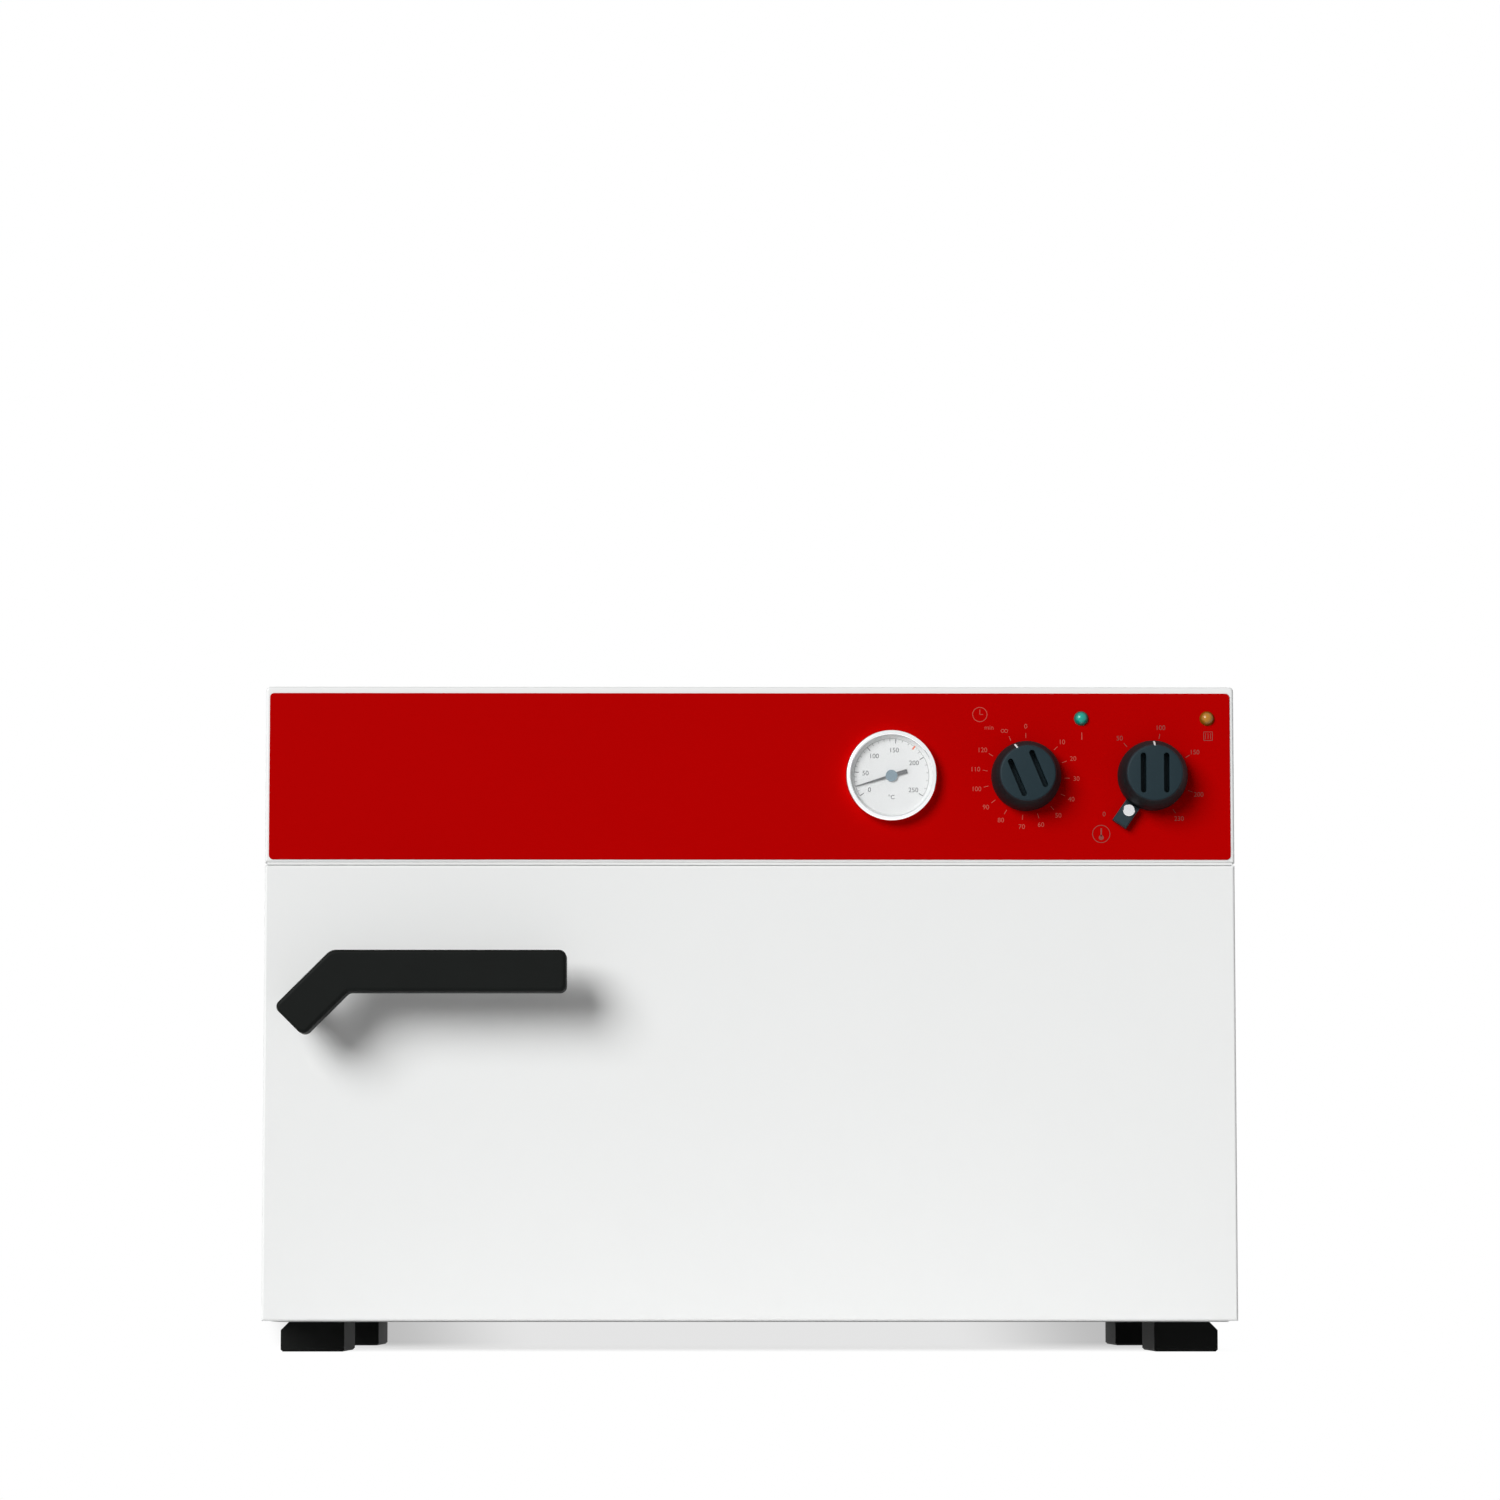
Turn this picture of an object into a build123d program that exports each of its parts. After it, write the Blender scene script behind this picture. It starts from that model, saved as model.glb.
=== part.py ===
from build123d import *
import math
import os

# Laboratory drying oven with a side-hinged door. Lengths are in millimetres, +Z is up, the
# front faces -Y, and the origin is on the floor under the middle of the whole outline.

# Housing
body_width = 580.0
body_height = 380.0
body_depth = 425.0
casing_sheet = 1.2
casing_corner = 2.5
base_flange = 15.0
frame_sheet = 1.5
frame_lap = 12.0
fit_gap = 0.3
screw_clearance = 0.1
bar_flats = 8

# Feet
foot_height = 18.0
foot_width = 38.5
foot_length = 80.0
foot_chamfer = 5.0
foot_side_inset = 6.0
foot_front_inset = 6.0
foot_rear_inset = 12.0
foot_edge = 1.2
foot_bore_radius = 6.5
foot_bore_depth = 11.0
foot_screw_radius = 2.5
foot_screw_head_radius = 4.6
foot_screw_head = 3.2

# Control fascia and its foil
fascia_height = 106.0
fascia_edge = 1.5
foil_thickness = 0.5
foil_side_margin = 2.4
foil_top_margin = 4.0
foil_bottom_margin = 1.9
foil_corner = 2.5

# Door
door_thickness = 48.0
door_sheet = 1.2
door_edge = 1.5
door_top_gap = 1.5
door_floor_gap = 1.0
seal_gap = 5.0
door_panel_sheet = 1.0
door_plug_margin = 6.0
door_plug_rise = 8.0
door_plug_draft = 20.0
door_plug_corner = 14.0
door_screw_inset = 12.0
gasket_margin = 4.0
gasket_width = 10.0
gasket_corner = 12.0
gasket_lip = 2.5

# Hinges, at the right of the door
hinge_side_inset = 15.0
hinge_front_inset = 15.0
hinge_pin_radius = 4.0
hinge_pin_reach = 18.0
hinge_plate = 3.0
hinge_arm_width = 14.0
hinge_tail = 42.0
bush_wall = 2.4
bush_flange = 2.0
bush_flange_sheet = 0.5
running_clearance = 0.06
hinge_notch_clearance = 1.0

# Handle and latch, at the left of the door
handle_reach = 44.0
lever_thickness = 18.0
lever_width = 25.0
lever_angle = 45.0
lever_tail = 12.5
lever_arm = 31.0
lever_bar = 135.0
lever_corner = 3.0
lever_edge = 2.4
lever_side_inset = 23.0
lever_pivot_drop = 84.0
lever_boss_radius = 10.5
lever_boss_flare = 2.0
lever_boss_gap = 0.5
rosette_radius = 17.0
rosette_height = 4.0
rosette_edge = 1.5
spindle_radius = 5.0
spindle_bush_wall = 3.0
cam_thickness = 5.0
cam_gap = 1.2
cam_hub_radius = 9.5
cam_tongue_width = 10.0
cam_tongue_length = 26.0
nut_flats = 13.0
nut_height = 4.0
keeper_depth = 13.0
keeper_margin = 4.0
keeper_pad_radius = 4.0
keeper_pad_gap = 0.5
keeper_pad_drop = 21.0

# Chamber
chamber_width = 400.0
chamber_height = 210.0
chamber_depth = 290.0
chamber_rise = 30.0
chamber_sheet = 1.0
chamber_corner = 8.0
insulation_rear = 36.0
deflector_height = 16.0
deflector_sheet = 1.0
deflector_front_gap = 14.0
deflector_rear_gap = 14.0
deflector_slot_length = 46.0
deflector_slot_width = 6.0
deflector_columns = 5
deflector_rows = 4
heater_radius = 4.0
heater_width = 280.0
heater_bend = 24.0
heater_front_gap = 36.0
heater_lead = 22.0

# Racks and their rails
rail_sheet = 1.2
rail_shelf = 9.0
rail_levels = 5
rail_pitch = 32.0
rail_first_rise = 26.0
rail_front_gap = 12.0
rail_rear_gap = 18.0
rail_foot_rise = 6.0
rack_side_gap = 5.5
rack_frame_radius = 2.5
rack_wire_radius = 1.6
rack_wires = 13
rack_corner = 14.0
rack_front_gap = 20.0
rack_rear_gap = 24.0
rack_levels = (1, 3)

# Thermometer on the fascia
thermometer_x = 84.6
bezel_radius = 27.5
bezel_height = 8.0
bezel_wall = 0.9
bezel_lip = 3.0
bezel_chamfer = 2.0
lens_thickness = 1.1
lens_clearance = 0.3
dial_sheet = 0.6
dial_depth = 4.2
gauge_wall = 1.2
gauge_case_radius = 25.0
gauge_case_depth = 28.0
gauge_shoulder = 2.0
gauge_movement_radius = 14.0
gauge_movement_gap = 6.0
pointer_length = 22.0
pointer_tail = 9.8
pointer_tail_width = 2.6
pointer_root_width = 1.8
pointer_tip_width = 0.5
pointer_hub_radius = 3.5
pointer_sheet = 0.5
pointer_height = 1.0
pointer_spindle_radius = 0.8
pointer_start_angle = -106.7

# Knobs; an angle on the front is clockwise from the top
timer_x = 165.3
thermostat_x = 240.7
knob_radius = 20.9
knob_face_radius = 15.6
knob_height = 19.0
knob_skirt = 3.0
knob_edge = 1.2
knob_groove_width = 3.4
knob_groove_length = 24.0
knob_groove_depth = 9.0
knob_bar_width = 10.4
knob_mark_width = 1.3
knob_mark_length = 3.0
knob_mark_depth = 0.5
knob_gap = 0.6
knob_shaft_radius = 3.0
knob_socket_depth = 11.0
timer_start_angle = -22.6
temperature_start_angle = 0.0
neck_radius = 5.0
neck_proud = 0.3
timer_can_radius = 23.0
timer_can_depth = 30.0
thermostat_width = 46.0
thermostat_depth = 34.0
thermostat_corner = 6.0

# Limit stop under the temperature knob
stop_angle = 214.6
stop_width = 9.7
stop_reach = 35.3
stop_sheet = 1.6
stop_ring_wall = 5.5
stop_block_height = 6.0
stop_edge = 1.0
stop_screw_radius = 3.6
stop_screw_head = 1.6
stop_screw_place = 25.4
stop_screw_shank = 1.5
stop_screw_slot = 0.9

# Pilot lamps
lamp_offset = 33.3
lamp_rise = 35.0
lamp_radius = 4.4
lamp_height = 3.6
lamp_dome_steps = 2
lamp_stem_radius = 3.4
lamp_holder_radius = 5.5
lamp_holder_depth = 24.0
lamp_nut = 3.0

# Capillaries of the thermometer and the thermostat
capillary_radius = 1.0
bulb_radius = 3.0
bulb_length = 70.0
bulb_rear_gap = 9.0
capillary_bend = 12.0
thermostat_bulb_x = 150.0

# Rear
duct_reach = 46.0
duct_radius = 26.0
duct_wall = 1.0
duct_drop = 38.0
duct_flange_radius = 35.0
duct_flange_sheet = 1.5
duct_bead_place = 28.0
duct_bead_width = 3.0
duct_bead_height = 1.2
flap_place = 19.0
flap_clearance = 0.6
flap_sheet = 2.0
flap_shaft_radius = 3.0
flap_hub_radius = 5.0
flap_knob_radius = 7.0
flap_knob_length = 12.0
flap_knob_wing = 3.0
louvre_rows = 7
louvre_pitch = 9.0
louvre_length = 60.0
louvre_width = 3.0
louvre_offset = 170.0
inlet_x = 225.0
inlet_rise = 50.0
inlet_flange_width = 50.0
inlet_flange_height = 26.0
inlet_flange_sheet = 3.0
inlet_body_width = 28.0
inlet_body_height = 20.6
inlet_body_depth = 19.0
inlet_wall = 1.9
inlet_floor = 4.0
inlet_corner = 2.5
inlet_pin_width = 2.0
inlet_pin_height = 4.0
inlet_pin_length = 12.5
inlet_pin_pitch = 14.0
inlet_pin_rise = 4.0
inlet_screw_pitch = 40.0
terminal_width = 62.0
terminal_depth = 17.0
terminal_height = 22.0
terminal_count = 5
terminal_rise = 52.0

# Small screws: panel screws at the rear, on the door's inner panel and on the inlet
screw_radius = 1.8
screw_head_radius = 3.8
screw_head = 1.6
screw_length = 8.0
rear_screw_inset = 12.0

# Places worked out from the sizes above; a depth is counted back from the door's front
overall_depth = handle_reach + body_depth + duct_reach
front_y = handle_reach - overall_depth / 2
body_bottom = foot_height
body_top = body_bottom + body_height
half_width = body_width / 2
fascia_bottom = body_top - fascia_height
foil_height = fascia_height - foil_top_margin - foil_bottom_margin
foil_middle = fascia_bottom + foil_bottom_margin + foil_height / 2
door_top = fascia_bottom - door_top_gap
door_bottom = body_bottom + door_floor_gap
door_height = door_top - door_bottom
door_middle = (door_top + door_bottom) / 2
frame_depth = door_thickness + seal_gap
rear_depth = body_depth - casing_sheet
chamber_floor = body_bottom + chamber_rise
chamber_top = chamber_floor + chamber_height
chamber_middle = (chamber_floor + chamber_top) / 2
chamber_rear = frame_depth + chamber_depth
insulation_back = chamber_rear + chamber_sheet + insulation_rear
hinge_x = half_width - hinge_side_inset
lever_x = lever_side_inset - half_width
lever_z = door_top - lever_pivot_drop
duct_z = chamber_top - duct_drop
bulb_depth = chamber_rear - bulb_rear_gap
knob_bottom = -foil_thickness - fit_gap
stop_front = knob_bottom - stop_sheet


def behind(sketch, front, back):
    """Extrude a sketch drawn in X and Z from one depth to another."""
    plane = Plane.XZ.offset(-(front_y + back))
    return extrude(plane * sketch, back - front)


def rod(x, z, radius, front, back):
    """Round bar along Y between two depths."""
    return behind(Pos(x, z) * Circle(radius), front, back)


def post(x, depth, radius, low, high):
    """Upright round bar between two heights."""
    base = Pos(x, front_y + depth, low)
    return base * Cylinder(radius, high - low, align=(Align.CENTER, Align.CENTER, Align.MIN))


def block(x_span, depth_span, z_span):
    """Box between two X places, two depths and two heights."""
    size = [high - low for low, high in (x_span, depth_span, z_span)]
    middle = [(high + low) / 2 for low, high in (x_span, depth_span, z_span)]
    return Pos(middle[0], front_y + middle[1], middle[2]) * Box(*size)


def turned(profile, x, z):
    """Turn a profile of radius and depth about a line along Y."""
    return Pos(x, front_y, z) * revolve(profile, Axis.Y)


def turned_outline(points, x, z):
    """Turned piece from straight lines between (radius, depth) points."""
    return turned(make_face(Polyline(*points, close=True)), x, z)


def clock(x, z, radius, angle):
    """Point in X and Z at a clockwise angle from the top."""
    turn = math.radians(angle)
    return x + radius * math.sin(turn), z + radius * math.cos(turn)


def round_rectangle(width, height, radius, z=0.0, x=0.0):
    """Rectangle in X and Z with round corners, centred at x and z."""
    return Pos(x, z) * RectangleRounded(width, height, radius)


def small_section(radius):
    """Section of small bars and their holes, with flats in place of the circle around it."""
    return RegularPolygon(radius, bar_flats, major_radius=False)


def screw_hole(x, z):
    """Section of the clearance hole of a panel screw."""
    return Pos(x, z) * small_section(screw_radius + screw_clearance)


def panel_screw(x, z, face_depth, length):
    """Hexagon-head screw along Y whose head stands on the rear side of a face."""
    head = behind(Pos(x, z) * RegularPolygon(screw_head_radius, 6), face_depth, face_depth + screw_head)
    shank = Pos(x, z) * small_section(screw_radius)
    return head + behind(shank, face_depth - length, face_depth)


# Feet
def foot_places():
    """Side and front depth of each foot."""
    front = frame_depth + foot_front_inset
    rear = body_depth - foot_rear_inset - foot_length
    return [(side, depth) for depth in (front, rear) for side in (-1, 1)]


def foot_middle(side, depth):
    """Centre of a foot in X and in depth."""
    return side * (half_width - foot_side_inset - foot_width / 2), depth + foot_length / 2


def foot(side, depth):
    """Black block whose upper outer edge is cut at 45 degrees, with a counterbore for its screw."""
    x, middle = foot_middle(side, depth)
    outline = Pos(x, foot_height / 2) * Rectangle(foot_width, foot_height)
    outer_top = outline.vertices().sort_by(Axis.Y)[-2:].sort_by(Axis.X)[0 if side < 0 else -1]
    outline = chamfer(outer_top, foot_chamfer)
    body = behind(outline, depth, depth + foot_length)
    body = chamfer(body.edges().group_by(Axis.Z)[0], foot_edge)
    body -= post(x, middle, foot_bore_radius, 0, foot_bore_depth)
    return body - upright(x, middle, small_section(foot_screw_radius + screw_clearance), 0, foot_height)


def upright(x, depth, section, low, high):
    """Extrude a small section upwards at a place in X and in depth."""
    return extrude(Pos(x, front_y + depth, low) * section, high - low)


def foot_screw(side, depth):
    """Hexagon-head screw in a foot's counterbore, up through the base plate."""
    x, middle = foot_middle(side, depth)
    head = RegularPolygon(foot_screw_head_radius, 6)
    screw = upright(x, middle, head, foot_bore_depth - foot_screw_head, foot_bore_depth)
    shank_top = body_bottom + casing_sheet + hinge_plate
    return screw + upright(x, middle, small_section(foot_screw_radius), foot_bore_depth, shank_top)


def feet():
    """Four feet and their screws."""
    return {
        "feet": Compound([foot(side, depth) for side, depth in foot_places()]),
        "foot_screws": Compound([foot_screw(side, depth) for side, depth in foot_places()]),
    }


# Housing
def outer_casing():
    """One bent sheet: left side, top and right side, behind the fascia and the door."""
    outline = Pos(0, body_bottom + body_height / 2) * Rectangle(body_width, body_height)
    outline = fillet(outline.vertices().group_by(Axis.Y)[-1], casing_corner)
    inner_height = body_height - casing_sheet
    inner = Pos(0, body_bottom + inner_height / 2) * Rectangle(body_width - 2 * casing_sheet, inner_height)
    inner = fillet(inner.vertices().group_by(Axis.Y)[-1], casing_corner - casing_sheet)
    return behind(outline - inner, frame_depth, body_depth)


def base_plate():
    """Tray floor with upturned flanges inside the casing, and slots for the air that rises in it."""
    width = body_width - 2 * casing_sheet
    outline = Pos(0, body_bottom + base_flange / 2) * Rectangle(width, base_flange)
    outline -= Pos(0, body_bottom + casing_sheet + base_flange / 2) * Rectangle(
        width - 2 * casing_sheet, base_flange)
    plate = behind(outline, frame_depth + frame_sheet, rear_depth)
    for side, depth in foot_places():
        x, middle = foot_middle(side, depth)
        plate -= upright(x, middle, small_section(foot_screw_radius + screw_clearance), 0,
                         body_bottom + base_flange)
    return plate


def rear_screw_places():
    """Panel screws in the corners of the rear panel."""
    x = half_width - casing_sheet - rear_screw_inset
    low = body_bottom + rear_screw_inset
    high = body_top - casing_sheet - rear_screw_inset
    return [(-x, low), (-x, high), (x, low), (x, high)]


def inlet_screw_places():
    """Two screws beside the mains inlet."""
    z = body_bottom + inlet_rise
    return [(inlet_x - inlet_screw_pitch / 2, z), (inlet_x + inlet_screw_pitch / 2, z)]


def rear_panel():
    """Rear sheet with louvre slots, the duct hole and the inlet's cut-out."""
    width = body_width - 2 * casing_sheet
    height = body_height - casing_sheet
    sheet = Pos(0, body_bottom + height / 2) * Rectangle(width, height)
    sheet = fillet(sheet.vertices().group_by(Axis.Y)[-1], casing_corner - casing_sheet)
    sheet -= Pos(0, duct_z) * Circle(duct_radius + fit_gap)
    sheet -= inlet_section(fit_gap)
    first = fascia_bottom + fascia_height / 2 - louvre_pitch * (louvre_rows - 1) / 2
    for side in (-1, 1):
        for row in range(louvre_rows):
            place = Pos(side * louvre_offset, first + row * louvre_pitch)
            sheet -= place * Rectangle(louvre_length, louvre_width)
    for x, z in rear_screw_places() + inlet_screw_places():
        sheet -= screw_hole(x, z)
    return behind(sheet, rear_depth, body_depth)


def latch_slot(margin):
    """Opening in X and Z that the latch cam sweeps with clearance on every side."""
    reach = cam_tongue_length + cam_tongue_width / 2
    left = keeper_pad_gap + cam_tongue_width / 2 + 2 * keeper_pad_radius + margin
    right = reach * math.sin(math.radians(lever_angle)) + keeper_margin + margin
    down = reach + keeper_margin + margin
    up = cam_hub_radius + keeper_margin + margin
    return Pos(lever_x + (right - left) / 2, lever_z + (up - down) / 2) * Rectangle(left + right, up + down)


def front_frame():
    """Steel sheet around the chamber's mouth, with the latch opening and a notch for the lower hinge."""
    width = body_width - 2 * casing_sheet
    height = fascia_bottom + frame_lap - body_bottom
    sheet = Pos(0, body_bottom + height / 2) * Rectangle(width, height)
    sheet -= round_rectangle(chamber_width + 2 * chamber_sheet, chamber_height + 2 * chamber_sheet,
                             chamber_corner + chamber_sheet, chamber_middle)
    sheet -= latch_slot(0.0)
    notch_height = casing_sheet + hinge_plate + fit_gap
    notch = Pos(hinge_x, body_bottom + notch_height / 2) * Rectangle(hinge_arm_width + 2 * fit_gap, notch_height)
    return behind(sheet - notch, frame_depth, frame_depth + frame_sheet)


def housing():
    """Casing, base, rear panel and front frame, and the screws at the rear."""
    screws = [panel_screw(x, z, body_depth, screw_length) for x, z in rear_screw_places()]
    screws += [panel_screw(x, z, body_depth + inlet_flange_sheet, screw_length + inlet_flange_sheet)
               for x, z in inlet_screw_places()]
    return {
        "outer_casing": outer_casing(),
        "base_plate": base_plate(),
        "rear_panel": rear_panel(),
        "rear_screws": Compound(screws),
        "front_frame": front_frame(),
    }


# Control fascia
def lamp_places():
    """Pilot lamps, each above and to the right of its knob."""
    z = foil_middle + lamp_rise
    return {"green": (timer_x + lamp_offset, z), "amber": (thermostat_x + lamp_offset, z)}


def fascia_holes():
    """Openings for the thermometer, the two necks and the two lamps."""
    holes = Pos(thermometer_x, foil_middle) * Circle(gauge_case_radius + fit_gap)
    for x in (timer_x, thermostat_x):
        holes += Pos(x, foil_middle) * Circle(neck_radius + fit_gap)
    for x, z in lamp_places().values():
        holes += Pos(x, z) * Circle(lamp_stem_radius + fit_gap)
    return holes


def control_fascia():
    """Sheet tray, open at the rear, flush with the door below it."""
    middle = fascia_bottom + fascia_height / 2
    tray = behind(Pos(0, middle) * Rectangle(body_width, fascia_height), 0, frame_depth)
    upright = tray.edges().filter_by(Axis.Y).group_by(Axis.Z)[-1]
    tray = fillet(upright, casing_corner)
    tray = fillet(tray.edges().group_by(Axis.Y)[0], fascia_edge)
    inner = Pos(0, middle) * Rectangle(body_width - 2 * casing_sheet, fascia_height - 2 * casing_sheet)
    tray -= behind(inner, casing_sheet, frame_depth)
    tray -= behind(fascia_holes(), 0, casing_sheet)
    return tray - post(hinge_x, hinge_front_inset, hinge_pin_radius + fit_gap, fascia_bottom,
                       fascia_bottom + casing_sheet)


def panel_foil():
    """Thin front foil with round corners, glued on the fascia."""
    sheet = round_rectangle(body_width - 2 * foil_side_margin, foil_height, foil_corner, foil_middle)
    return behind(sheet - fascia_holes(), -foil_thickness, 0)


def pilot_lamp(x, z):
    """Bevelled lens whose stem goes back through the fascia."""
    seat = -foil_thickness
    curve = (lamp_radius ** 2 + lamp_height ** 2) / (2 * lamp_height)
    half_angle = math.asin(lamp_radius / curve)
    centre = seat - lamp_height + curve
    turns = [half_angle * (step + 1) / lamp_dome_steps for step in range(lamp_dome_steps)]
    dome = [(curve * math.sin(turn), centre - curve * math.cos(turn)) for turn in turns]
    return turned_outline([(0, seat - lamp_height), *dome, (lamp_stem_radius, seat),
                           (lamp_stem_radius, casing_sheet), (0, casing_sheet)], x, z)


def lamp_holder(x, z):
    """Socket behind the fascia with its hexagonal nut."""
    nut = Pos(x, z) * RegularPolygon(lamp_holder_radius + lamp_nut, 6)
    holder = behind(nut, casing_sheet, casing_sheet + lamp_nut)
    return holder + rod(x, z, lamp_holder_radius, casing_sheet, casing_sheet + lamp_holder_depth)


def fascia():
    """Fascia, foil and pilot lamps."""
    places = lamp_places()
    parts = {"control_fascia": control_fascia(), "panel_foil": panel_foil()}
    for colour, place in places.items():
        parts[f"pilot_lamp_{colour}"] = pilot_lamp(*place)
    parts["lamp_holders"] = Compound([lamp_holder(*place) for place in places.values()])
    return parts


# Thermometer
def thermometer():
    """Gauge with its case through the fascia; the glass and the dial sit in the bezel."""
    x, z = thermometer_x, foil_middle
    seat = -foil_thickness
    lip_back = seat - bezel_height + bezel_wall
    rim = lip_back + lens_thickness
    shoulder = rim + dial_depth
    rim_radius = bezel_radius - bezel_wall
    dial_radius = bezel_radius - bezel_lip
    back = gauge_case_depth
    case = turned_outline([(0, back), (gauge_case_radius, back), (gauge_case_radius, seat),
                           (rim_radius, seat), (rim_radius, shoulder), (dial_radius - gauge_shoulder, shoulder),
                           (dial_radius - gauge_shoulder, back - gauge_wall), (0, back - gauge_wall)], x, z)
    bezel_face = make_face(Polyline((rim_radius, seat), (bezel_radius, seat),
                                    (bezel_radius, seat - bezel_height), (dial_radius, seat - bezel_height),
                                    (dial_radius, lip_back), (rim_radius, lip_back), close=True))
    outer_corner = bezel_face.vertices().group_by(Axis.Y)[0].sort_by(Axis.X)[-1]
    bezel = turned(chamfer(outer_corner, bezel_chamfer), x, z)
    lens = rod(x, z, rim_radius - lens_clearance, lip_back, rim)
    dial_front = shoulder - dial_sheet
    dial = rod(x, z, dial_radius - lens_clearance, dial_front, shoulder)
    dial -= rod(x, z, pointer_spindle_radius + fit_gap, dial_front, shoulder)
    movement = rod(x, z, gauge_movement_radius, gauge_movement_gap, back - gauge_wall)
    movement -= rod(x, z, pointer_spindle_radius + running_clearance, gauge_movement_gap,
                    back - gauge_wall)
    return {
        "thermometer_case": case,
        "thermometer_bezel": bezel,
        "thermometer_lens": lens,
        "thermometer_dial": dial,
        "thermometer_movement": movement,
        "thermometer_pointer": pointer(x, z, dial_front),
    }


def pointer(x, z, dial_front):
    """Tapered pointer with a round hub, on a spindle that ends in the movement."""
    back = dial_front - pointer_height
    front = back - pointer_sheet
    blade = make_face(Polyline((-pointer_root_width / 2, 0), (-pointer_tip_width / 2, pointer_length),
                               (pointer_tip_width / 2, pointer_length), (pointer_root_width / 2, 0),
                               close=True))
    blade += Pos(0, -pointer_tail / 2) * Rectangle(pointer_tail_width, pointer_tail)
    turned_blade = Pos(x, z) * Rot(0, 0, -pointer_start_angle) * blade
    needle = behind(turned_blade, front, back)
    needle += rod(x, z, pointer_hub_radius, front - pointer_sheet, back)
    bearing = gauge_movement_gap + gauge_movement_radius / 2
    return needle + rod(x, z, pointer_spindle_radius, back, bearing)


# Knobs, their shafts and the switchgear behind them
def knob_body(x, bottom, angle):
    """Tapered knob, steeper towards its face, which two grooves cut beside the finger bar."""
    face = bottom - knob_height
    skirt = bottom - knob_skirt
    waist = (skirt + face) / 2
    waist_radius = (knob_radius + knob_face_radius) / 2 + knob_edge
    outline = Polyline((0, bottom), (knob_radius, bottom), (knob_radius, skirt), (waist_radius, waist),
                       (knob_face_radius, face), (0, face), close=True)
    body = revolve(make_face(outline), Axis.Y)
    groove_place = (knob_bar_width + knob_groove_width) / 2
    for side in (-1, 1):
        slot = Pos(side * groove_place, 0) * Rot(0, 0, 90) * SlotOverall(knob_groove_length, knob_groove_width)
        body -= extrude(Plane.XZ.offset(-(face + knob_groove_depth)) * slot, knob_groove_depth)
    mark = Box(knob_mark_width, knob_mark_length, knob_mark_length)
    body -= Pos(0, face + knob_mark_depth - knob_mark_length / 2, knob_face_radius) * mark
    socket = Plane.XZ.offset(-bottom) * Circle(knob_shaft_radius)
    body -= extrude(socket, knob_socket_depth)
    return Pos(x, front_y, foil_middle) * Rot(0, angle, 0) * body


def knob_shaft(x, bottom, back):
    """Round shaft from the knob's socket back into the switch."""
    return rod(x, foil_middle, knob_shaft_radius, bottom - knob_socket_depth, back)


def neck(x, front):
    """Round neck of a switch, from behind the fascia to a depth in front of it."""
    return rod(x, foil_middle, neck_radius, front, casing_sheet)


def timer():
    """Timer with its round can, knob and shaft."""
    back = casing_sheet + timer_can_depth
    can = rod(timer_x, foil_middle, timer_can_radius, casing_sheet, back)
    can += neck(timer_x, -foil_thickness)
    can -= rod(timer_x, foil_middle, knob_shaft_radius + running_clearance, -foil_thickness, back / 2)
    return {
        "timer_mechanism": can,
        "timer_knob": knob_body(timer_x, knob_bottom, timer_start_angle),
        "timer_shaft": knob_shaft(timer_x, knob_bottom, back / 2 - fit_gap),
    }


def thermostat():
    """Thermostat with its square housing, knob and shaft."""
    back = casing_sheet + thermostat_depth
    outline = round_rectangle(thermostat_width, thermostat_width, thermostat_corner, foil_middle, thermostat_x)
    housing_block = behind(outline, casing_sheet, back)
    neck_front = stop_front - neck_proud
    housing_block += neck(thermostat_x, neck_front)
    housing_block -= rod(thermostat_x, foil_middle, knob_shaft_radius + running_clearance, neck_front,
                         back / 2)
    bottom = neck_front - knob_gap
    return {
        "thermostat_body": housing_block,
        "temperature_knob": knob_body(thermostat_x, bottom, temperature_start_angle),
        "thermostat_shaft": knob_shaft(thermostat_x, bottom, back / 2 - fit_gap),
    }


def limit_stop():
    """Ring under the temperature knob with an arm and a block that stands beside the knob."""
    x, z = thermostat_x, foil_middle
    bore = neck_radius + running_clearance
    ring = Pos(x, z) * Circle(bore + stop_ring_wall)
    inner = knob_radius + knob_gap
    arm = Pos(0, stop_reach / 2) * Rectangle(stop_width, stop_reach)
    tall = Pos(0, (stop_reach + inner) / 2) * Rectangle(stop_width, stop_reach - inner)
    turn = Pos(x, z) * Rot(0, 0, -stop_angle)
    body = behind(ring + turn * arm, stop_front, knob_bottom)
    top = knob_bottom - stop_block_height
    stand = behind(turn * tall, top, knob_bottom)
    stand = chamfer(stand.edges().group_by(Axis.Y)[0], stop_edge)
    body += stand
    body -= rod(x, z, bore, top, knob_bottom)
    screw_x, screw_z = clock(x, z, stop_screw_place, stop_angle)
    body -= rod(screw_x, screw_z, stop_screw_shank + screw_clearance, top, knob_bottom)
    head = rod(screw_x, screw_z, stop_screw_radius, top - stop_screw_head, top)
    head = chamfer(head.edges().group_by(Axis.Y)[0], stop_screw_head / 4)
    slot = Pos(screw_x, screw_z) * Rot(0, 0, -stop_angle) * Rectangle(2 * stop_screw_radius, stop_screw_slot)
    head -= behind(slot, top - stop_screw_head, top - stop_screw_head / 2)
    screw = head + rod(screw_x, screw_z, stop_screw_shank, top, knob_bottom)
    return {"limit_stop": body, "limit_stop_screw": screw}


# Chamber
def chamber_box(extra, front, back):
    """Round-cornered prism of the chamber's section, larger by a margin."""
    outline = round_rectangle(chamber_width + 2 * extra, chamber_height + 2 * extra,
                              chamber_corner + extra, chamber_middle)
    return behind(outline, front, back)


def heater_lead_places():
    """The two ends of the heater where they leave the chamber."""
    return [-heater_width / 2, heater_width / 2]


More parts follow.
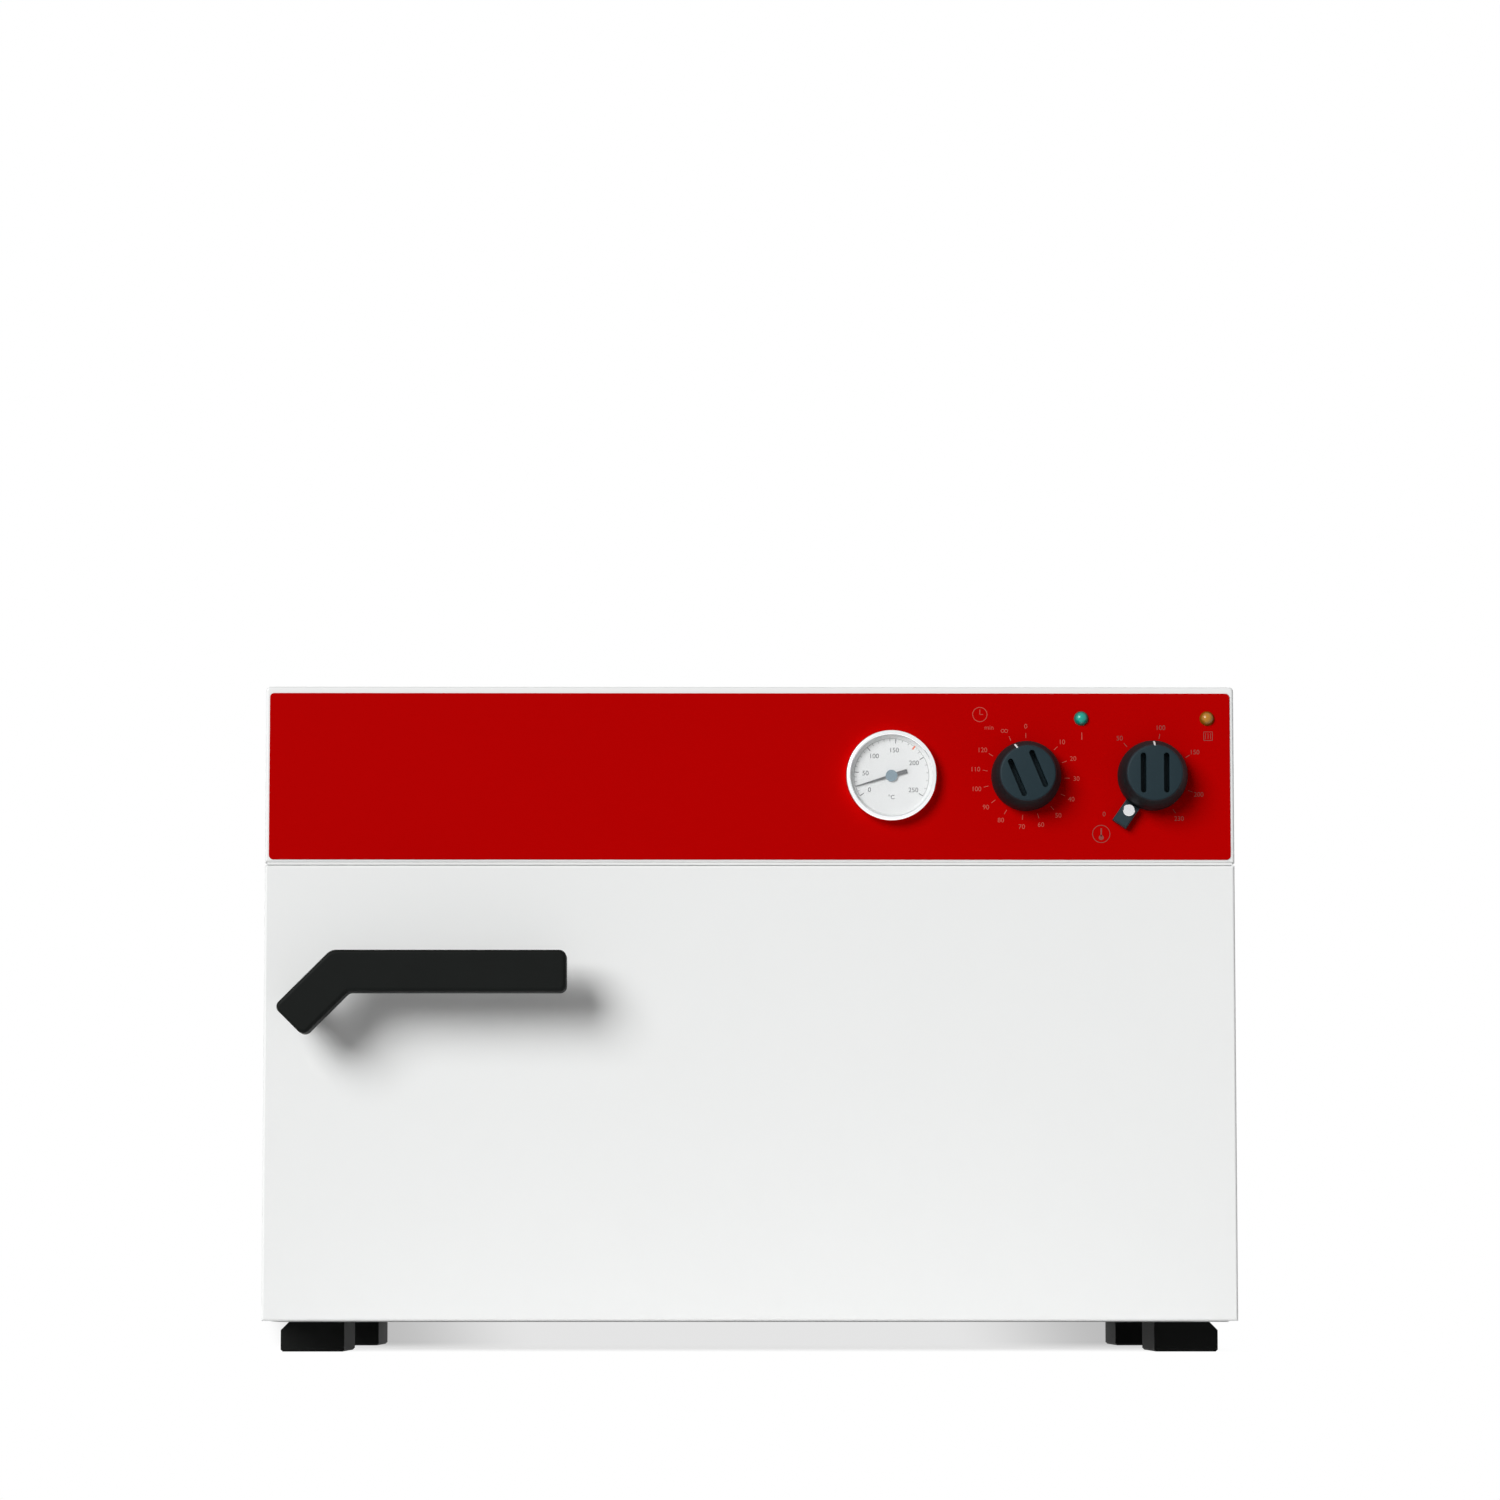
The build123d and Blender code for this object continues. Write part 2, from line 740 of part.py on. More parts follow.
def heater_height():
    """Height of the heater's centre line."""
    return chamber_floor + deflector_height / 2


def lead_hole(x):
    """Section of the hole around one end of the heater."""
    turn = Rot(0, 0, 180 / bar_flats)
    return Pos(x, heater_height()) * turn * small_section(heater_radius + fit_gap)


def bulb_hole():
    """Section of the hole around a sensor's bulb."""
    return small_section(bulb_radius + fit_gap)


def inner_chamber():
    """Stainless liner, open at the front."""
    outer = chamber_box(chamber_sheet, frame_depth, chamber_rear + chamber_sheet)
    liner = outer - chamber_box(0.0, frame_depth, chamber_rear)
    rear = chamber_rear + chamber_sheet
    liner -= rod(0, duct_z, duct_radius + fit_gap, chamber_rear, rear)
    for x in heater_lead_places():
        liner -= behind(lead_hole(x), chamber_rear, rear)
    for x in (thermometer_x, thermostat_bulb_x):
        liner -= upright(x, bulb_depth, bulb_hole(), chamber_top, chamber_top + chamber_sheet)
    return liner


def chamber_insulation():
    """Mineral wool around the liner, cut out for what passes through it."""
    side = half_width - 2 * casing_sheet
    front = frame_depth + frame_sheet
    low = body_bottom + casing_sheet + hinge_plate + fit_gap
    wool = block((-side, side), (front, insulation_back), (low, fascia_bottom))
    wool -= chamber_box(chamber_sheet, front, chamber_rear + chamber_sheet)
    wool -= rod(0, duct_z, duct_radius + fit_gap, chamber_rear, insulation_back)
    for x in heater_lead_places():
        wool -= behind(lead_hole(x), chamber_rear, insulation_back)
    for x in (thermometer_x, thermostat_bulb_x):
        wool -= upright(x, bulb_depth, bulb_hole(), chamber_top, fascia_bottom)
    wool -= behind(latch_slot(casing_sheet), front, front + keeper_depth + casing_sheet)
    return wool


def heater_element():
    """Tube bent to a wide U under the deflector, both ends out through the rear wall."""
    near = front_y + frame_depth + heater_front_gap
    end = front_y + chamber_rear + heater_lead
    left, right = heater_lead_places()
    corners = [(left, end), (left, near), (right, near), (right, end)]
    path = FilletPolyline(*[(x, y, heater_height()) for x, y in corners], radius=heater_bend)
    return wire(path, heater_radius)


def floor_deflector():
    """Perforated tray turned down at both sides, standing on the chamber's floor over the heater."""
    width = chamber_width - 2 * chamber_corner
    outline = Pos(0, chamber_floor + deflector_height / 2) * Rectangle(width, deflector_height)
    outline -= Pos(0, chamber_floor + (deflector_height - deflector_sheet) / 2) * Rectangle(
        width - 2 * deflector_sheet, deflector_height - deflector_sheet)
    front = frame_depth + deflector_front_gap
    rear = chamber_rear - deflector_rear_gap
    tray = behind(outline, front, rear)
    top = chamber_floor + deflector_height
    places = GridLocations(width / deflector_columns, (rear - front) / deflector_rows, deflector_columns,
                           deflector_rows)
    slot = Rectangle(deflector_slot_length, deflector_slot_width)
    middle = Pos(0, front_y + (front + rear) / 2, top - deflector_sheet)
    for place in places:
        tray -= extrude(middle * place * slot, deflector_sheet)
    return tray


def rail_height(level):
    """Top of a rail's shelf."""
    return chamber_floor + deflector_height + rail_first_rise + level * rail_pitch


def rack_rail(side):
    """Upright sheet at a side wall with folded shelves, standing on the deflector's side strip."""
    wall = chamber_width / 2 - fit_gap
    low = chamber_floor + chamber_corner
    high = rail_height(rail_levels - 1) + rail_foot_rise
    front = frame_depth + rail_front_gap
    rear = chamber_rear - rail_rear_gap
    outline = Pos(wall - rail_sheet / 2, (low + high) / 2) * Rectangle(rail_sheet, high - low)
    for level in range(rail_levels):
        place = Pos(wall - rail_shelf / 2, rail_height(level) - rail_sheet / 2)
        outline += place * Rectangle(rail_shelf, rail_sheet)
    rail = behind(outline, front, rear)
    return rail if side > 0 else mirror(rail, Plane.YZ)


def wire(path, radius):
    """Wire along a path, with eight flats instead of a round section, one flat on top."""
    section = Rot(0, 0, 180 / bar_flats) * small_section(radius)
    plane = Plane(path @ 0, x_dir=(path % 0).cross(Vector(0, 0, 1)), z_dir=path % 0)
    return sweep(plane * section, path=path)


def wire_rack(level):
    """Shelf of welded wires: a round-cornered frame, one cross bar and a row of lengthwise wires."""
    half = chamber_width / 2 - rack_side_gap
    front = front_y + frame_depth + rack_front_gap
    rear = front_y + chamber_rear - rack_rear_gap
    z = rail_height(level) + rack_frame_radius + fit_gap / 2
    side = half - rack_frame_radius
    middle = (front + rear) / 2
    loop = Pos(0, middle, z) * RectangleRounded(2 * side, rear - front, rack_corner)
    rack = wire(loop.wire(), rack_frame_radius)
    rack += wire(Line((-side, middle, z), (side, middle, z)), rack_frame_radius)
    wire_z = z + rack_frame_radius + rack_wire_radius
    spacing = 2 * (side - rack_corner) / (rack_wires - 1)
    for index in range(rack_wires):
        x = rack_corner - side + index * spacing
        rack += wire(Line((x, front, wire_z), (x, rear, wire_z)), rack_wire_radius)
    return rack


def chamber():
    """Liner, insulation, heater, deflector, rails and racks."""
    lower, upper = rack_levels
    return {
        "inner_chamber": inner_chamber(),
        "chamber_insulation": chamber_insulation(),
        "heater_element": heater_element(),
        "floor_deflector": floor_deflector(),
        "rack_rail_left": rack_rail(-1),
        "rack_rail_right": rack_rail(1),
        "rack_lower": wire_rack(lower),
        "rack_upper": wire_rack(upper),
    }


def sensor(points, x):
    """Capillary along a route, ending in a bulb that hangs through the chamber's ceiling."""
    path = FilletPolyline(*points, radius=capillary_bend)
    top = chamber_top + chamber_sheet + bulb_radius
    bulb = post(x, bulb_depth, bulb_radius, top - bulb_length, top)
    bulb = chamfer(bulb.edges().group_by(Axis.Z)[0], bulb_radius / 3)
    return wire(path, capillary_radius) + bulb


def sensors():
    """Capillary and bulb of the thermometer and of the thermostat."""
    z = foil_middle
    top = chamber_top + chamber_sheet + bulb_radius
    y_bulb = front_y + bulb_depth
    straight = [(thermometer_x, front_y + gauge_case_depth, z), (thermometer_x, y_bulb, z),
                (thermometer_x, y_bulb, top)]
    y_turn = y_bulb - 2 * (thermostat_x - thermostat_bulb_x) / 3
    bent = [(thermostat_x, front_y + casing_sheet + thermostat_depth, z), (thermostat_x, y_turn, z),
            (thermostat_bulb_x, y_bulb, z), (thermostat_bulb_x, y_bulb, top)]
    return {"thermometer_sensor": sensor(straight, thermometer_x),
            "thermostat_sensor": sensor(bent, thermostat_bulb_x)}


# Door
def hinge_notch():
    """Space at the door's lower right corner that the hinge arm sweeps, behind the front sheet."""
    top = body_bottom + casing_sheet + hinge_plate + hinge_notch_clearance
    flange = hinge_pin_radius + running_clearance + bush_wall + bush_flange
    left = hinge_x - max(flange, hinge_arm_width / 2) - hinge_notch_clearance
    return (left, half_width), (door_sheet, door_thickness), (door_bottom, top)


def door_skin():
    """Outer sheet turned back on all four sides, joggled over the lower hinge arm."""
    tray = behind(Pos(0, door_middle) * Rectangle(body_width, door_height), 0,
                  door_thickness - door_panel_sheet)
    tray = fillet(tray.edges().group_by(Axis.Y)[0], door_edge)
    inner = Pos(0, door_middle) * Rectangle(body_width - 2 * door_sheet, door_height - 2 * door_sheet)
    tray -= behind(inner, door_sheet, door_thickness - door_panel_sheet)
    x_span, depth_span, z_span = hinge_notch()
    back = door_thickness - door_panel_sheet
    tray -= block(x_span, (door_sheet, back), z_span)
    shelf_top = z_span[1] + door_sheet
    tray += block((x_span[0] - door_sheet, half_width), (door_sheet, back), (z_span[1], shelf_top))
    tray += block((x_span[0] - door_sheet, x_span[0]), (door_sheet, back), (door_bottom, shelf_top))
    bush = hinge_pin_radius + running_clearance + bush_wall
    tray -= post(hinge_x, hinge_front_inset, bush, z_span[1], shelf_top)
    tray -= post(hinge_x, hinge_front_inset, bush, door_top - door_sheet, door_top)
    return tray - rod(lever_x, lever_z, spindle_radius + running_clearance + spindle_bush_wall, 0, door_sheet)


def door_screw_places():
    """Screws in the corners of the door's inner panel, above the lower hinge arm."""
    x = half_width - door_screw_inset
    low = door_bottom + 2 * door_screw_inset
    high = door_top - door_screw_inset
    return [(-x, low), (-x, high), (x, low), (x, high)]


def door_plug(inset, rise, back):
    """Tapered raised field of the inner panel, which enters the chamber's mouth."""
    width = chamber_width - 2 * door_plug_margin - 2 * inset
    height = chamber_height - 2 * door_plug_margin - 2 * inset
    field = round_rectangle(width, height, door_plug_corner - inset, chamber_middle)
    plane = Plane(origin=(0, front_y + back, 0), x_dir=(1, 0, 0), z_dir=(0, 1, 0))
    return extrude(plane * mirror(field, Plane.XZ), rise, taper=door_plug_draft)


def door_inner_panel():
    """Stainless sheet with a raised middle, screwed on the back of the door."""
    front = door_thickness - door_panel_sheet
    panel = behind(Pos(0, door_middle) * Rectangle(body_width, door_height), front, door_thickness)
    panel += door_plug(0.0, door_plug_rise, door_thickness)
    panel -= door_plug(door_panel_sheet, door_plug_rise, front)
    x_span, _, z_span = hinge_notch()
    panel -= block(x_span, (front, door_thickness), z_span)
    panel -= rod(lever_x, lever_z, spindle_radius + running_clearance + spindle_bush_wall, front,
                 door_thickness)
    for x, z in door_screw_places():
        panel -= behind(screw_hole(x, z), front, door_thickness)
    return panel


def door_insulation():
    """Wool between the door's two sheets."""
    back = door_thickness - door_panel_sheet
    x = half_width - door_sheet
    wool = block((-x, x), (door_sheet, back), (door_bottom + door_sheet, door_top - door_sheet))
    x_span, _, z_span = hinge_notch()
    wool -= block((x_span[0] - door_sheet, half_width), (door_sheet, back),
                  (door_bottom, z_span[1] + door_sheet))
    bush = hinge_pin_radius + running_clearance + bush_wall
    low_bush, high_bush = bush_spans()
    wool -= post(hinge_x, hinge_front_inset, bush, door_bottom, low_bush[1])
    wool -= post(hinge_x, hinge_front_inset, bush, high_bush[0], door_top)
    wool -= rod(lever_x, lever_z, spindle_radius + running_clearance + spindle_bush_wall, 0, back)
    for x, z in door_screw_places():
        wool -= behind(screw_hole(x, z), door_thickness - screw_length, back)
    return wool


def bush_spans():
    """Heights of the lower and the upper hinge bush."""
    low = hinge_notch()[2][1]
    reach = hinge_pin_reach + bush_flange
    return (low, low + reach), (door_top - reach, door_top)


def hinge_bushes():
    """Flanged plastic bushes, pressed into the door at the bottom and the top."""
    outer = hinge_pin_radius + running_clearance + bush_wall
    bore = hinge_pin_radius + running_clearance
    low, high = bush_spans()
    depth = hinge_front_inset
    lower = post(hinge_x, depth, outer, *low)
    lower += post(hinge_x, depth, outer + bush_flange, low[0] - bush_flange_sheet, low[0])
    lower -= post(hinge_x, depth, bore, low[0] - bush_flange_sheet, low[1])
    upper = post(hinge_x, depth, outer, *high)
    upper += post(hinge_x, depth, outer + bush_flange, high[1], high[1] + bush_flange_sheet)
    upper -= post(hinge_x, depth, bore, high[0], high[1] + bush_flange_sheet)
    return Compound([lower, upper])


def hinge_brackets():
    """Lower arm on the base plate and upper plate in the fascia, each with its pin."""
    half_arm = hinge_arm_width / 2
    low, high = bush_spans()
    low_z = body_bottom + casing_sheet
    arm = block((hinge_x - half_arm, hinge_x + half_arm), (hinge_front_inset, frame_depth + hinge_tail),
                (low_z, low_z + hinge_plate))
    arm += post(hinge_x, hinge_front_inset, half_arm, low_z, low_z + hinge_plate)
    arm -= post(hinge_x, hinge_front_inset, hinge_pin_radius, low_z, low_z + hinge_plate)
    up_z = fascia_bottom + casing_sheet
    plate_back = frame_depth - hinge_front_inset / 2
    plate = block((hinge_x - half_arm, hinge_x + half_arm), (hinge_front_inset, plate_back),
                  (up_z, up_z + hinge_plate))
    plate += post(hinge_x, hinge_front_inset, half_arm, up_z, up_z + hinge_plate)
    plate -= post(hinge_x, hinge_front_inset, hinge_pin_radius, up_z, up_z + hinge_plate)
    lower_pin = post(hinge_x, hinge_front_inset, hinge_pin_radius, low_z, low[0] + hinge_pin_reach)
    upper_pin = post(hinge_x, hinge_front_inset, hinge_pin_radius, high[1] - hinge_pin_reach,
                     up_z + hinge_plate)
    return {
        "hinge_arm_lower": arm,
        "hinge_plate_upper": plate,
        "hinge_pins": Compound([lower_pin, upper_pin]),
    }


def door_gasket():
    """Silicone seal around the chamber's mouth, with a thin lip towards the door."""
    inner_width = chamber_width + 2 * gasket_margin
    inner_height = chamber_height + 2 * gasket_margin
    wide = round_rectangle(inner_width + 2 * gasket_width, inner_height + 2 * gasket_width,
                           gasket_corner + gasket_width, chamber_middle)
    hole = round_rectangle(inner_width, inner_height, gasket_corner, chamber_middle)
    foot_front = frame_depth - gasket_lip
    seal = behind(wide - hole, foot_front, frame_depth)
    lip_inset = gasket_width - gasket_lip
    lip_outer = round_rectangle(inner_width + 2 * gasket_width - lip_inset,
                                inner_height + 2 * gasket_width - lip_inset,
                                gasket_corner + gasket_width - lip_inset / 2, chamber_middle)
    lip_inner = round_rectangle(inner_width + lip_inset, inner_height + lip_inset,
                                gasket_corner + lip_inset / 2, chamber_middle)
    return seal + behind(lip_outer - lip_inner, door_thickness + fit_gap, foot_front)


def door():
    """Sheets, wool, bushes and screws of the door."""
    screws = [panel_screw(x, z, door_thickness, screw_length) for x, z in door_screw_places()]
    return {
        "door_skin": door_skin(),
        "door_inner_panel": door_inner_panel(),
        "door_insulation": door_insulation(),
        "door_panel_screws": Compound(screws),
        "hinge_bushes": hinge_bushes(),
        "spindle_bush": spindle_bush(),
        "handle_rosette": handle_rosette(),
    }


# Handle and latch
def spindle_bush():
    """Tube through the door in which the handle's spindle turns."""
    outer = spindle_radius + running_clearance + spindle_bush_wall
    tube = rod(lever_x, lever_z, outer, 0, door_thickness)
    return tube - rod(lever_x, lever_z, spindle_radius + running_clearance, 0, door_thickness)


def handle_rosette():
    """Round foot plate of the handle on the door's front."""
    plate = rod(lever_x, lever_z, rosette_radius, -rosette_height, 0)
    plate = chamfer(plate.edges().group_by(Axis.Y)[0], rosette_edge)
    return plate - rod(lever_x, lever_z, spindle_radius + running_clearance, -rosette_height, 0)


def lever_outline():
    """Cranked lever in X and Z: tail and arm at an angle, then the level bar."""
    turn = math.radians(lever_angle)
    along = Vector(math.cos(turn), math.sin(turn))
    across = Vector(-math.sin(turn), math.cos(turn))
    up = Vector(0, 1)
    half = lever_width / 2
    pivot = Vector(lever_x, lever_z)
    tail = pivot - along * lever_tail
    bend = pivot + along * lever_arm
    end = bend + Vector(lever_bar, 0)
    mitre = (across + up) * (half / (1 + across.dot(up)))
    points = [tail + across * half, bend + mitre, end + up * half, end - up * half, bend - mitre,
              tail - across * half]
    face = make_face(Polyline(*[(point.X, point.Y) for point in points], close=True))
    return fillet(face.vertices(), lever_corner)


def door_handle():
    """Moulded lever with soft edges and a flared boss that stands it off the door."""
    front = -handle_reach
    back = front + lever_thickness
    lever = behind(lever_outline(), front, back)
    lever = fillet(lever.edges().group_by(Axis.Y)[0], lever_edge)
    lever = chamfer(lever.edges().group_by(Axis.Y)[-1], lever_edge / 2)
    boss_end = -rosette_height - lever_boss_gap
    flare = lever_boss_radius + lever_boss_flare
    boss = turned_outline([(0, back), (flare, back),
                           (lever_boss_radius, back + 2 * lever_boss_flare), (lever_boss_radius, boss_end),
                           (0, boss_end)], lever_x, lever_z)
    lever += boss
    return lever - rod(lever_x, lever_z, spindle_radius, front + lever_thickness / 2, boss_end)


def latch_places():
    """Depths of the cam's front and back and of the spindle's end."""
    cam_front = door_thickness + cam_gap
    cam_back = cam_front + cam_thickness
    return cam_front, cam_back, cam_back + nut_height


def latch_cam():
    """Hub with a tongue that hangs down beside the keeper's pad."""
    front, back, _ = latch_places()
    outline = Circle(cam_hub_radius)
    outline += Pos(0, -cam_tongue_length / 2) * Rectangle(cam_tongue_width, cam_tongue_length)
    outline += Pos(0, -cam_tongue_length) * Circle(cam_tongue_width / 2)
    cam = behind(Pos(lever_x, lever_z) * outline, front, back)
    return cam - rod(lever_x, lever_z, spindle_radius, front, back)


def latch_nut():
    """Hexagonal nut that holds the cam on the spindle."""
    _, back, end = latch_places()
    outline = Pos(lever_x, lever_z) * RegularPolygon(nut_flats / 2, 6, major_radius=False)
    outline -= Pos(lever_x, lever_z) * Circle(spindle_radius)
    return behind(outline, back, end)


def latch_keeper():
    """Sheet box behind the front frame that closes the latch opening."""
    front = frame_depth + frame_sheet
    back = front + keeper_depth
    box = behind(latch_slot(casing_sheet), front, back + casing_sheet)
    return box - behind(latch_slot(0.0), front, back)


def keeper_pad():
    """Plastic stop post beside the cam's tongue."""
    x = lever_x - cam_tongue_width / 2 - keeper_pad_gap - keeper_pad_radius
    front = frame_depth
    return rod(x, lever_z - keeper_pad_drop, keeper_pad_radius, front, frame_depth + frame_sheet + keeper_depth)


def handle():
    """Lever, spindle, cam and nut, with the keeper that they work against."""
    spindle = rod(lever_x, lever_z, spindle_radius, lever_thickness / 2 - handle_reach, latch_places()[2])
    return {
        "door_handle": door_handle(),
        "handle_spindle": spindle,
        "latch_cam": latch_cam(),
        "latch_nut": latch_nut(),
        "latch_keeper": latch_keeper(),
        "keeper_pad": keeper_pad(),
    }


# Rear
def exhaust_duct():
    """Thin tube from the chamber to the outside, with a flange and a hose bead."""
    end = body_depth + duct_reach
    duct = rod(0, duct_z, duct_radius, chamber_rear, end)
    duct += rod(0, duct_z, duct_flange_radius, body_depth, body_depth + duct_flange_sheet)
    bead = body_depth + duct_bead_place - duct_bead_width
    ring = rod(0, duct_z, duct_radius + duct_bead_height, bead, bead + duct_bead_width)
    duct += ring
    duct -= rod(0, duct_z, duct_radius - duct_wall, chamber_rear, end)
    reach = duct_radius + duct_wall
    hole = Pos(0, front_y + body_depth + flap_place, duct_z) * Rot(0, 90, 0)
    return duct - hole * Cylinder(flap_shaft_radius + running_clearance, 2 * reach)


def damper():
    """Flap on a cross shaft in the duct, with a winged knob at its right end."""
    centre = Pos(0, front_y + body_depth + flap_place, duct_z)
    inside = duct_radius - duct_wall - flap_clearance
    flap = centre * Cylinder(inside, flap_sheet)
    knob_start = duct_radius + fit_gap
    knob_end = knob_start + flap_knob_length
    shaft_end = duct_radius + fit_gap
    length = knob_end + shaft_end
    shaft = centre * Pos((knob_end - shaft_end) / 2, 0, 0) * Rot(0, 90, 0) * Cylinder(flap_shaft_radius, length)
    flap += shaft
    hub = centre * Pos((knob_start + knob_end) / 2, 0, 0) * Rot(0, 90, 0) * Cylinder(
        flap_hub_radius, flap_knob_length)
    wing = centre * Pos((knob_start + knob_end) / 2 + flap_knob_length / 4, 0, 0) * Box(
        flap_knob_length / 2, 2 * flap_knob_radius, flap_knob_wing)
    knob = hub + fillet(wing.edges().filter_by(Axis.Z), flap_knob_wing / 2)
    knob -= shaft
    return {"damper_flap": flap, "damper_knob": knob}


def inlet_section(extra):
    """Section of the inlet's body, larger or smaller by a margin, its two upper corners cut off."""
    section = Pos(inlet_x, body_bottom + inlet_rise) * Rectangle(
        inlet_body_width + 2 * extra, inlet_body_height + 2 * extra)
    return chamfer(section.vertices().group_by(Axis.Y)[-1], inlet_corner)


def mains_inlet():
    """Three-pin appliance inlet with a flange on the rear panel."""
    z = body_bottom + inlet_rise
    front = body_depth - inlet_body_depth
    back = body_depth + inlet_flange_sheet
    flange = Pos(inlet_x, z) * Rectangle(inlet_flange_width, inlet_flange_height)
    flange = chamfer(flange.vertices(), inlet_corner)
    for x, screw_z in inlet_screw_places():
        flange -= screw_hole(x, screw_z)
    inlet = behind(flange, body_depth, back)
    inlet += behind(inlet_section(0.0), front, body_depth)
    recess_front = front + inlet_floor
    inlet -= behind(inlet_section(-inlet_wall), recess_front, back)
    pins = []
    for x, rise in ((-inlet_pin_pitch / 2, -inlet_pin_rise / 2), (0, inlet_pin_rise / 2),
                    (inlet_pin_pitch / 2, -inlet_pin_rise / 2)):
        pin = Pos(inlet_x + x, z + rise) * Rectangle(inlet_pin_width, inlet_pin_height)
        pins.append(behind(pin, recess_front, recess_front + inlet_pin_length))
    return {"mains_inlet": inlet, "inlet_pins": Compound(pins)}


def terminal_block():
    """Row of terminals inside the rear panel, above the inlet."""
    low = body_bottom + inlet_rise + terminal_rise
    pitch = terminal_width / terminal_count
    left = inlet_x - terminal_width / 2
    strip = block((left, left + terminal_width), (rear_depth - terminal_depth, rear_depth),
                  (low, low + terminal_height))
    for index in range(terminal_count):
        x = left + (index + 0.5) * pitch
        mouth = Pos(x, low + terminal_height / 2) * Rectangle(pitch / 2, pitch / 2)
        strip -= behind(mouth, rear_depth - terminal_depth, rear_depth - terminal_depth / 2)
    return {"terminal_block": strip}


def oven():
    """All nodes of the oven by name."""
    parts = {}
    for group in (feet, housing, fascia, thermometer, timer, thermostat, limit_stop, chamber, sensors,
                  door, hinge_brackets, handle, damper, mains_inlet, terminal_block):
        parts.update(group())
    parts["door_gasket"] = door_gasket()
    parts["exhaust_duct"] = exhaust_duct()
    return parts


os.makedirs("parts", exist_ok=True)
for node, solid in oven().items():
    export_step(solid, f"parts/{node}.step")
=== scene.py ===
"""Looks of a laboratory drying oven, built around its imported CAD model.

The oven stands on the floor with its front towards -Y. Lengths are in metres and a place on the
front is given by X and Z. An angle on a dial is clockwise from the top, seen from the front.
"""

import logging
import math
from dataclasses import dataclass, field, replace
from enum import Enum

import bpy
import numpy as np
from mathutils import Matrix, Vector


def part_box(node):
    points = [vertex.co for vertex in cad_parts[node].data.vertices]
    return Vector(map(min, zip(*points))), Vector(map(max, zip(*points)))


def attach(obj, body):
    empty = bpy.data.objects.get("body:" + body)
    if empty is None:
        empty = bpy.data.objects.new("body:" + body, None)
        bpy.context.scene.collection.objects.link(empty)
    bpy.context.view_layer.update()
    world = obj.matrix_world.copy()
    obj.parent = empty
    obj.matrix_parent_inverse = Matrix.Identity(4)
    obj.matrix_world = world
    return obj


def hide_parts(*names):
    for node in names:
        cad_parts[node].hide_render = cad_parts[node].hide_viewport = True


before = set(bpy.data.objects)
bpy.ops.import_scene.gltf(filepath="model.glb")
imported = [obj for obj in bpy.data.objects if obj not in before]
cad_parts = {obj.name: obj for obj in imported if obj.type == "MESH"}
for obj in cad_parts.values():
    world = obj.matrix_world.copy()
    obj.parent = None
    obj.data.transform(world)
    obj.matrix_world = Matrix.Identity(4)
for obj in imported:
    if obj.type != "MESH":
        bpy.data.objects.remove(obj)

MM = 0.001
LOG = logging.getLogger("oven")
# Radius at which a turned profile ends, near enough to its axis
POLE = 0.0001 * MM
# Angle of the timer's mark for continuous running, where its knob stands
CONTINUOUS = -22.6
# Share of a wire's run along Z above which the wire counts as upright
STEEP = 0.9
# A colour, a point or vector, a place on the front in X and Z, and any other two numbers
Colour = tuple[float, float, float]
Triple = tuple[float, float, float]
Place = tuple[float, float]
Pair = tuple[float, float]


class Body(Enum):
    """Rigid bodies that the new pieces ride on."""

    HOUSING = "housing"
    DOOR = "door"
    HANDLE = "handle"
    TIMER = "timer"
    TEMPERATURE = "temperature"


class Grain(Enum):
    """Direction in which a brushed metal is streaked, as factors on the coordinates."""

    ALONG_X = (1.0, 60.0, 60.0)
    ALONG_Y = (60.0, 1.0, 60.0)


# Shader graph

class Signal:
    """A value in a node tree; Python's operators add the Math nodes that work it out."""

    def __init__(self, recipe: "Recipe", socket: bpy.types.NodeSocket) -> None:
        """Keeps the socket and the recipe whose tree it belongs to."""
        self.recipe = recipe
        self.socket = socket

    def _math(self, operation: str, first: "Signal | float",
              second: "Signal | float" = 0.0) -> "Signal":
        """Result of a Math node; an operation on one value leaves out the second."""
        return self.recipe.node("ShaderNodeMath", {"operation": operation}, {0: first, 1: second})

    def __add__(self, other: "Signal | float") -> "Signal":
        """Sum."""
        return self._math("ADD", self, other)

    def __radd__(self, other: float) -> "Signal":
        """Sum with a number on the left."""
        return self._math("ADD", other, self)

    def __sub__(self, other: "Signal | float") -> "Signal":
        """Difference."""
        return self._math("SUBTRACT", self, other)

    def __rsub__(self, other: float) -> "Signal":
        """Difference with a number on the left."""
        return self._math("SUBTRACT", other, self)

    def __mul__(self, other: "Signal | float") -> "Signal":
        """Product."""
        return self._math("MULTIPLY", self, other)

    def __rmul__(self, other: float) -> "Signal":
        """Product with a number on the left."""
        return self._math("MULTIPLY", other, self)

    def __truediv__(self, other: "Signal | float") -> "Signal":
        """Quotient."""
        return self._math("DIVIDE", self, other)

    def size(self) -> "Signal":
        """Value without its sign."""
        return self._math("ABSOLUTE", self)

    def larger(self, other: "Signal") -> "Signal":
        """Larger of two values."""
        return self._math("MAXIMUM", self, other)

    def below(self, limit: float) -> "Signal":
        """One where the value is under a limit, else zero."""
        return self._math("LESS_THAN", self, limit)

    def fade(self, low: float, high: float) -> "Signal":
        """Smooth step from 0 at the low value to 1 at the high value."""
        return self.recipe.node("ShaderNodeMapRange", {"interpolation_type": "SMOOTHSTEP"},
                                {"Value": self, "From Min": low, "From Max": high})


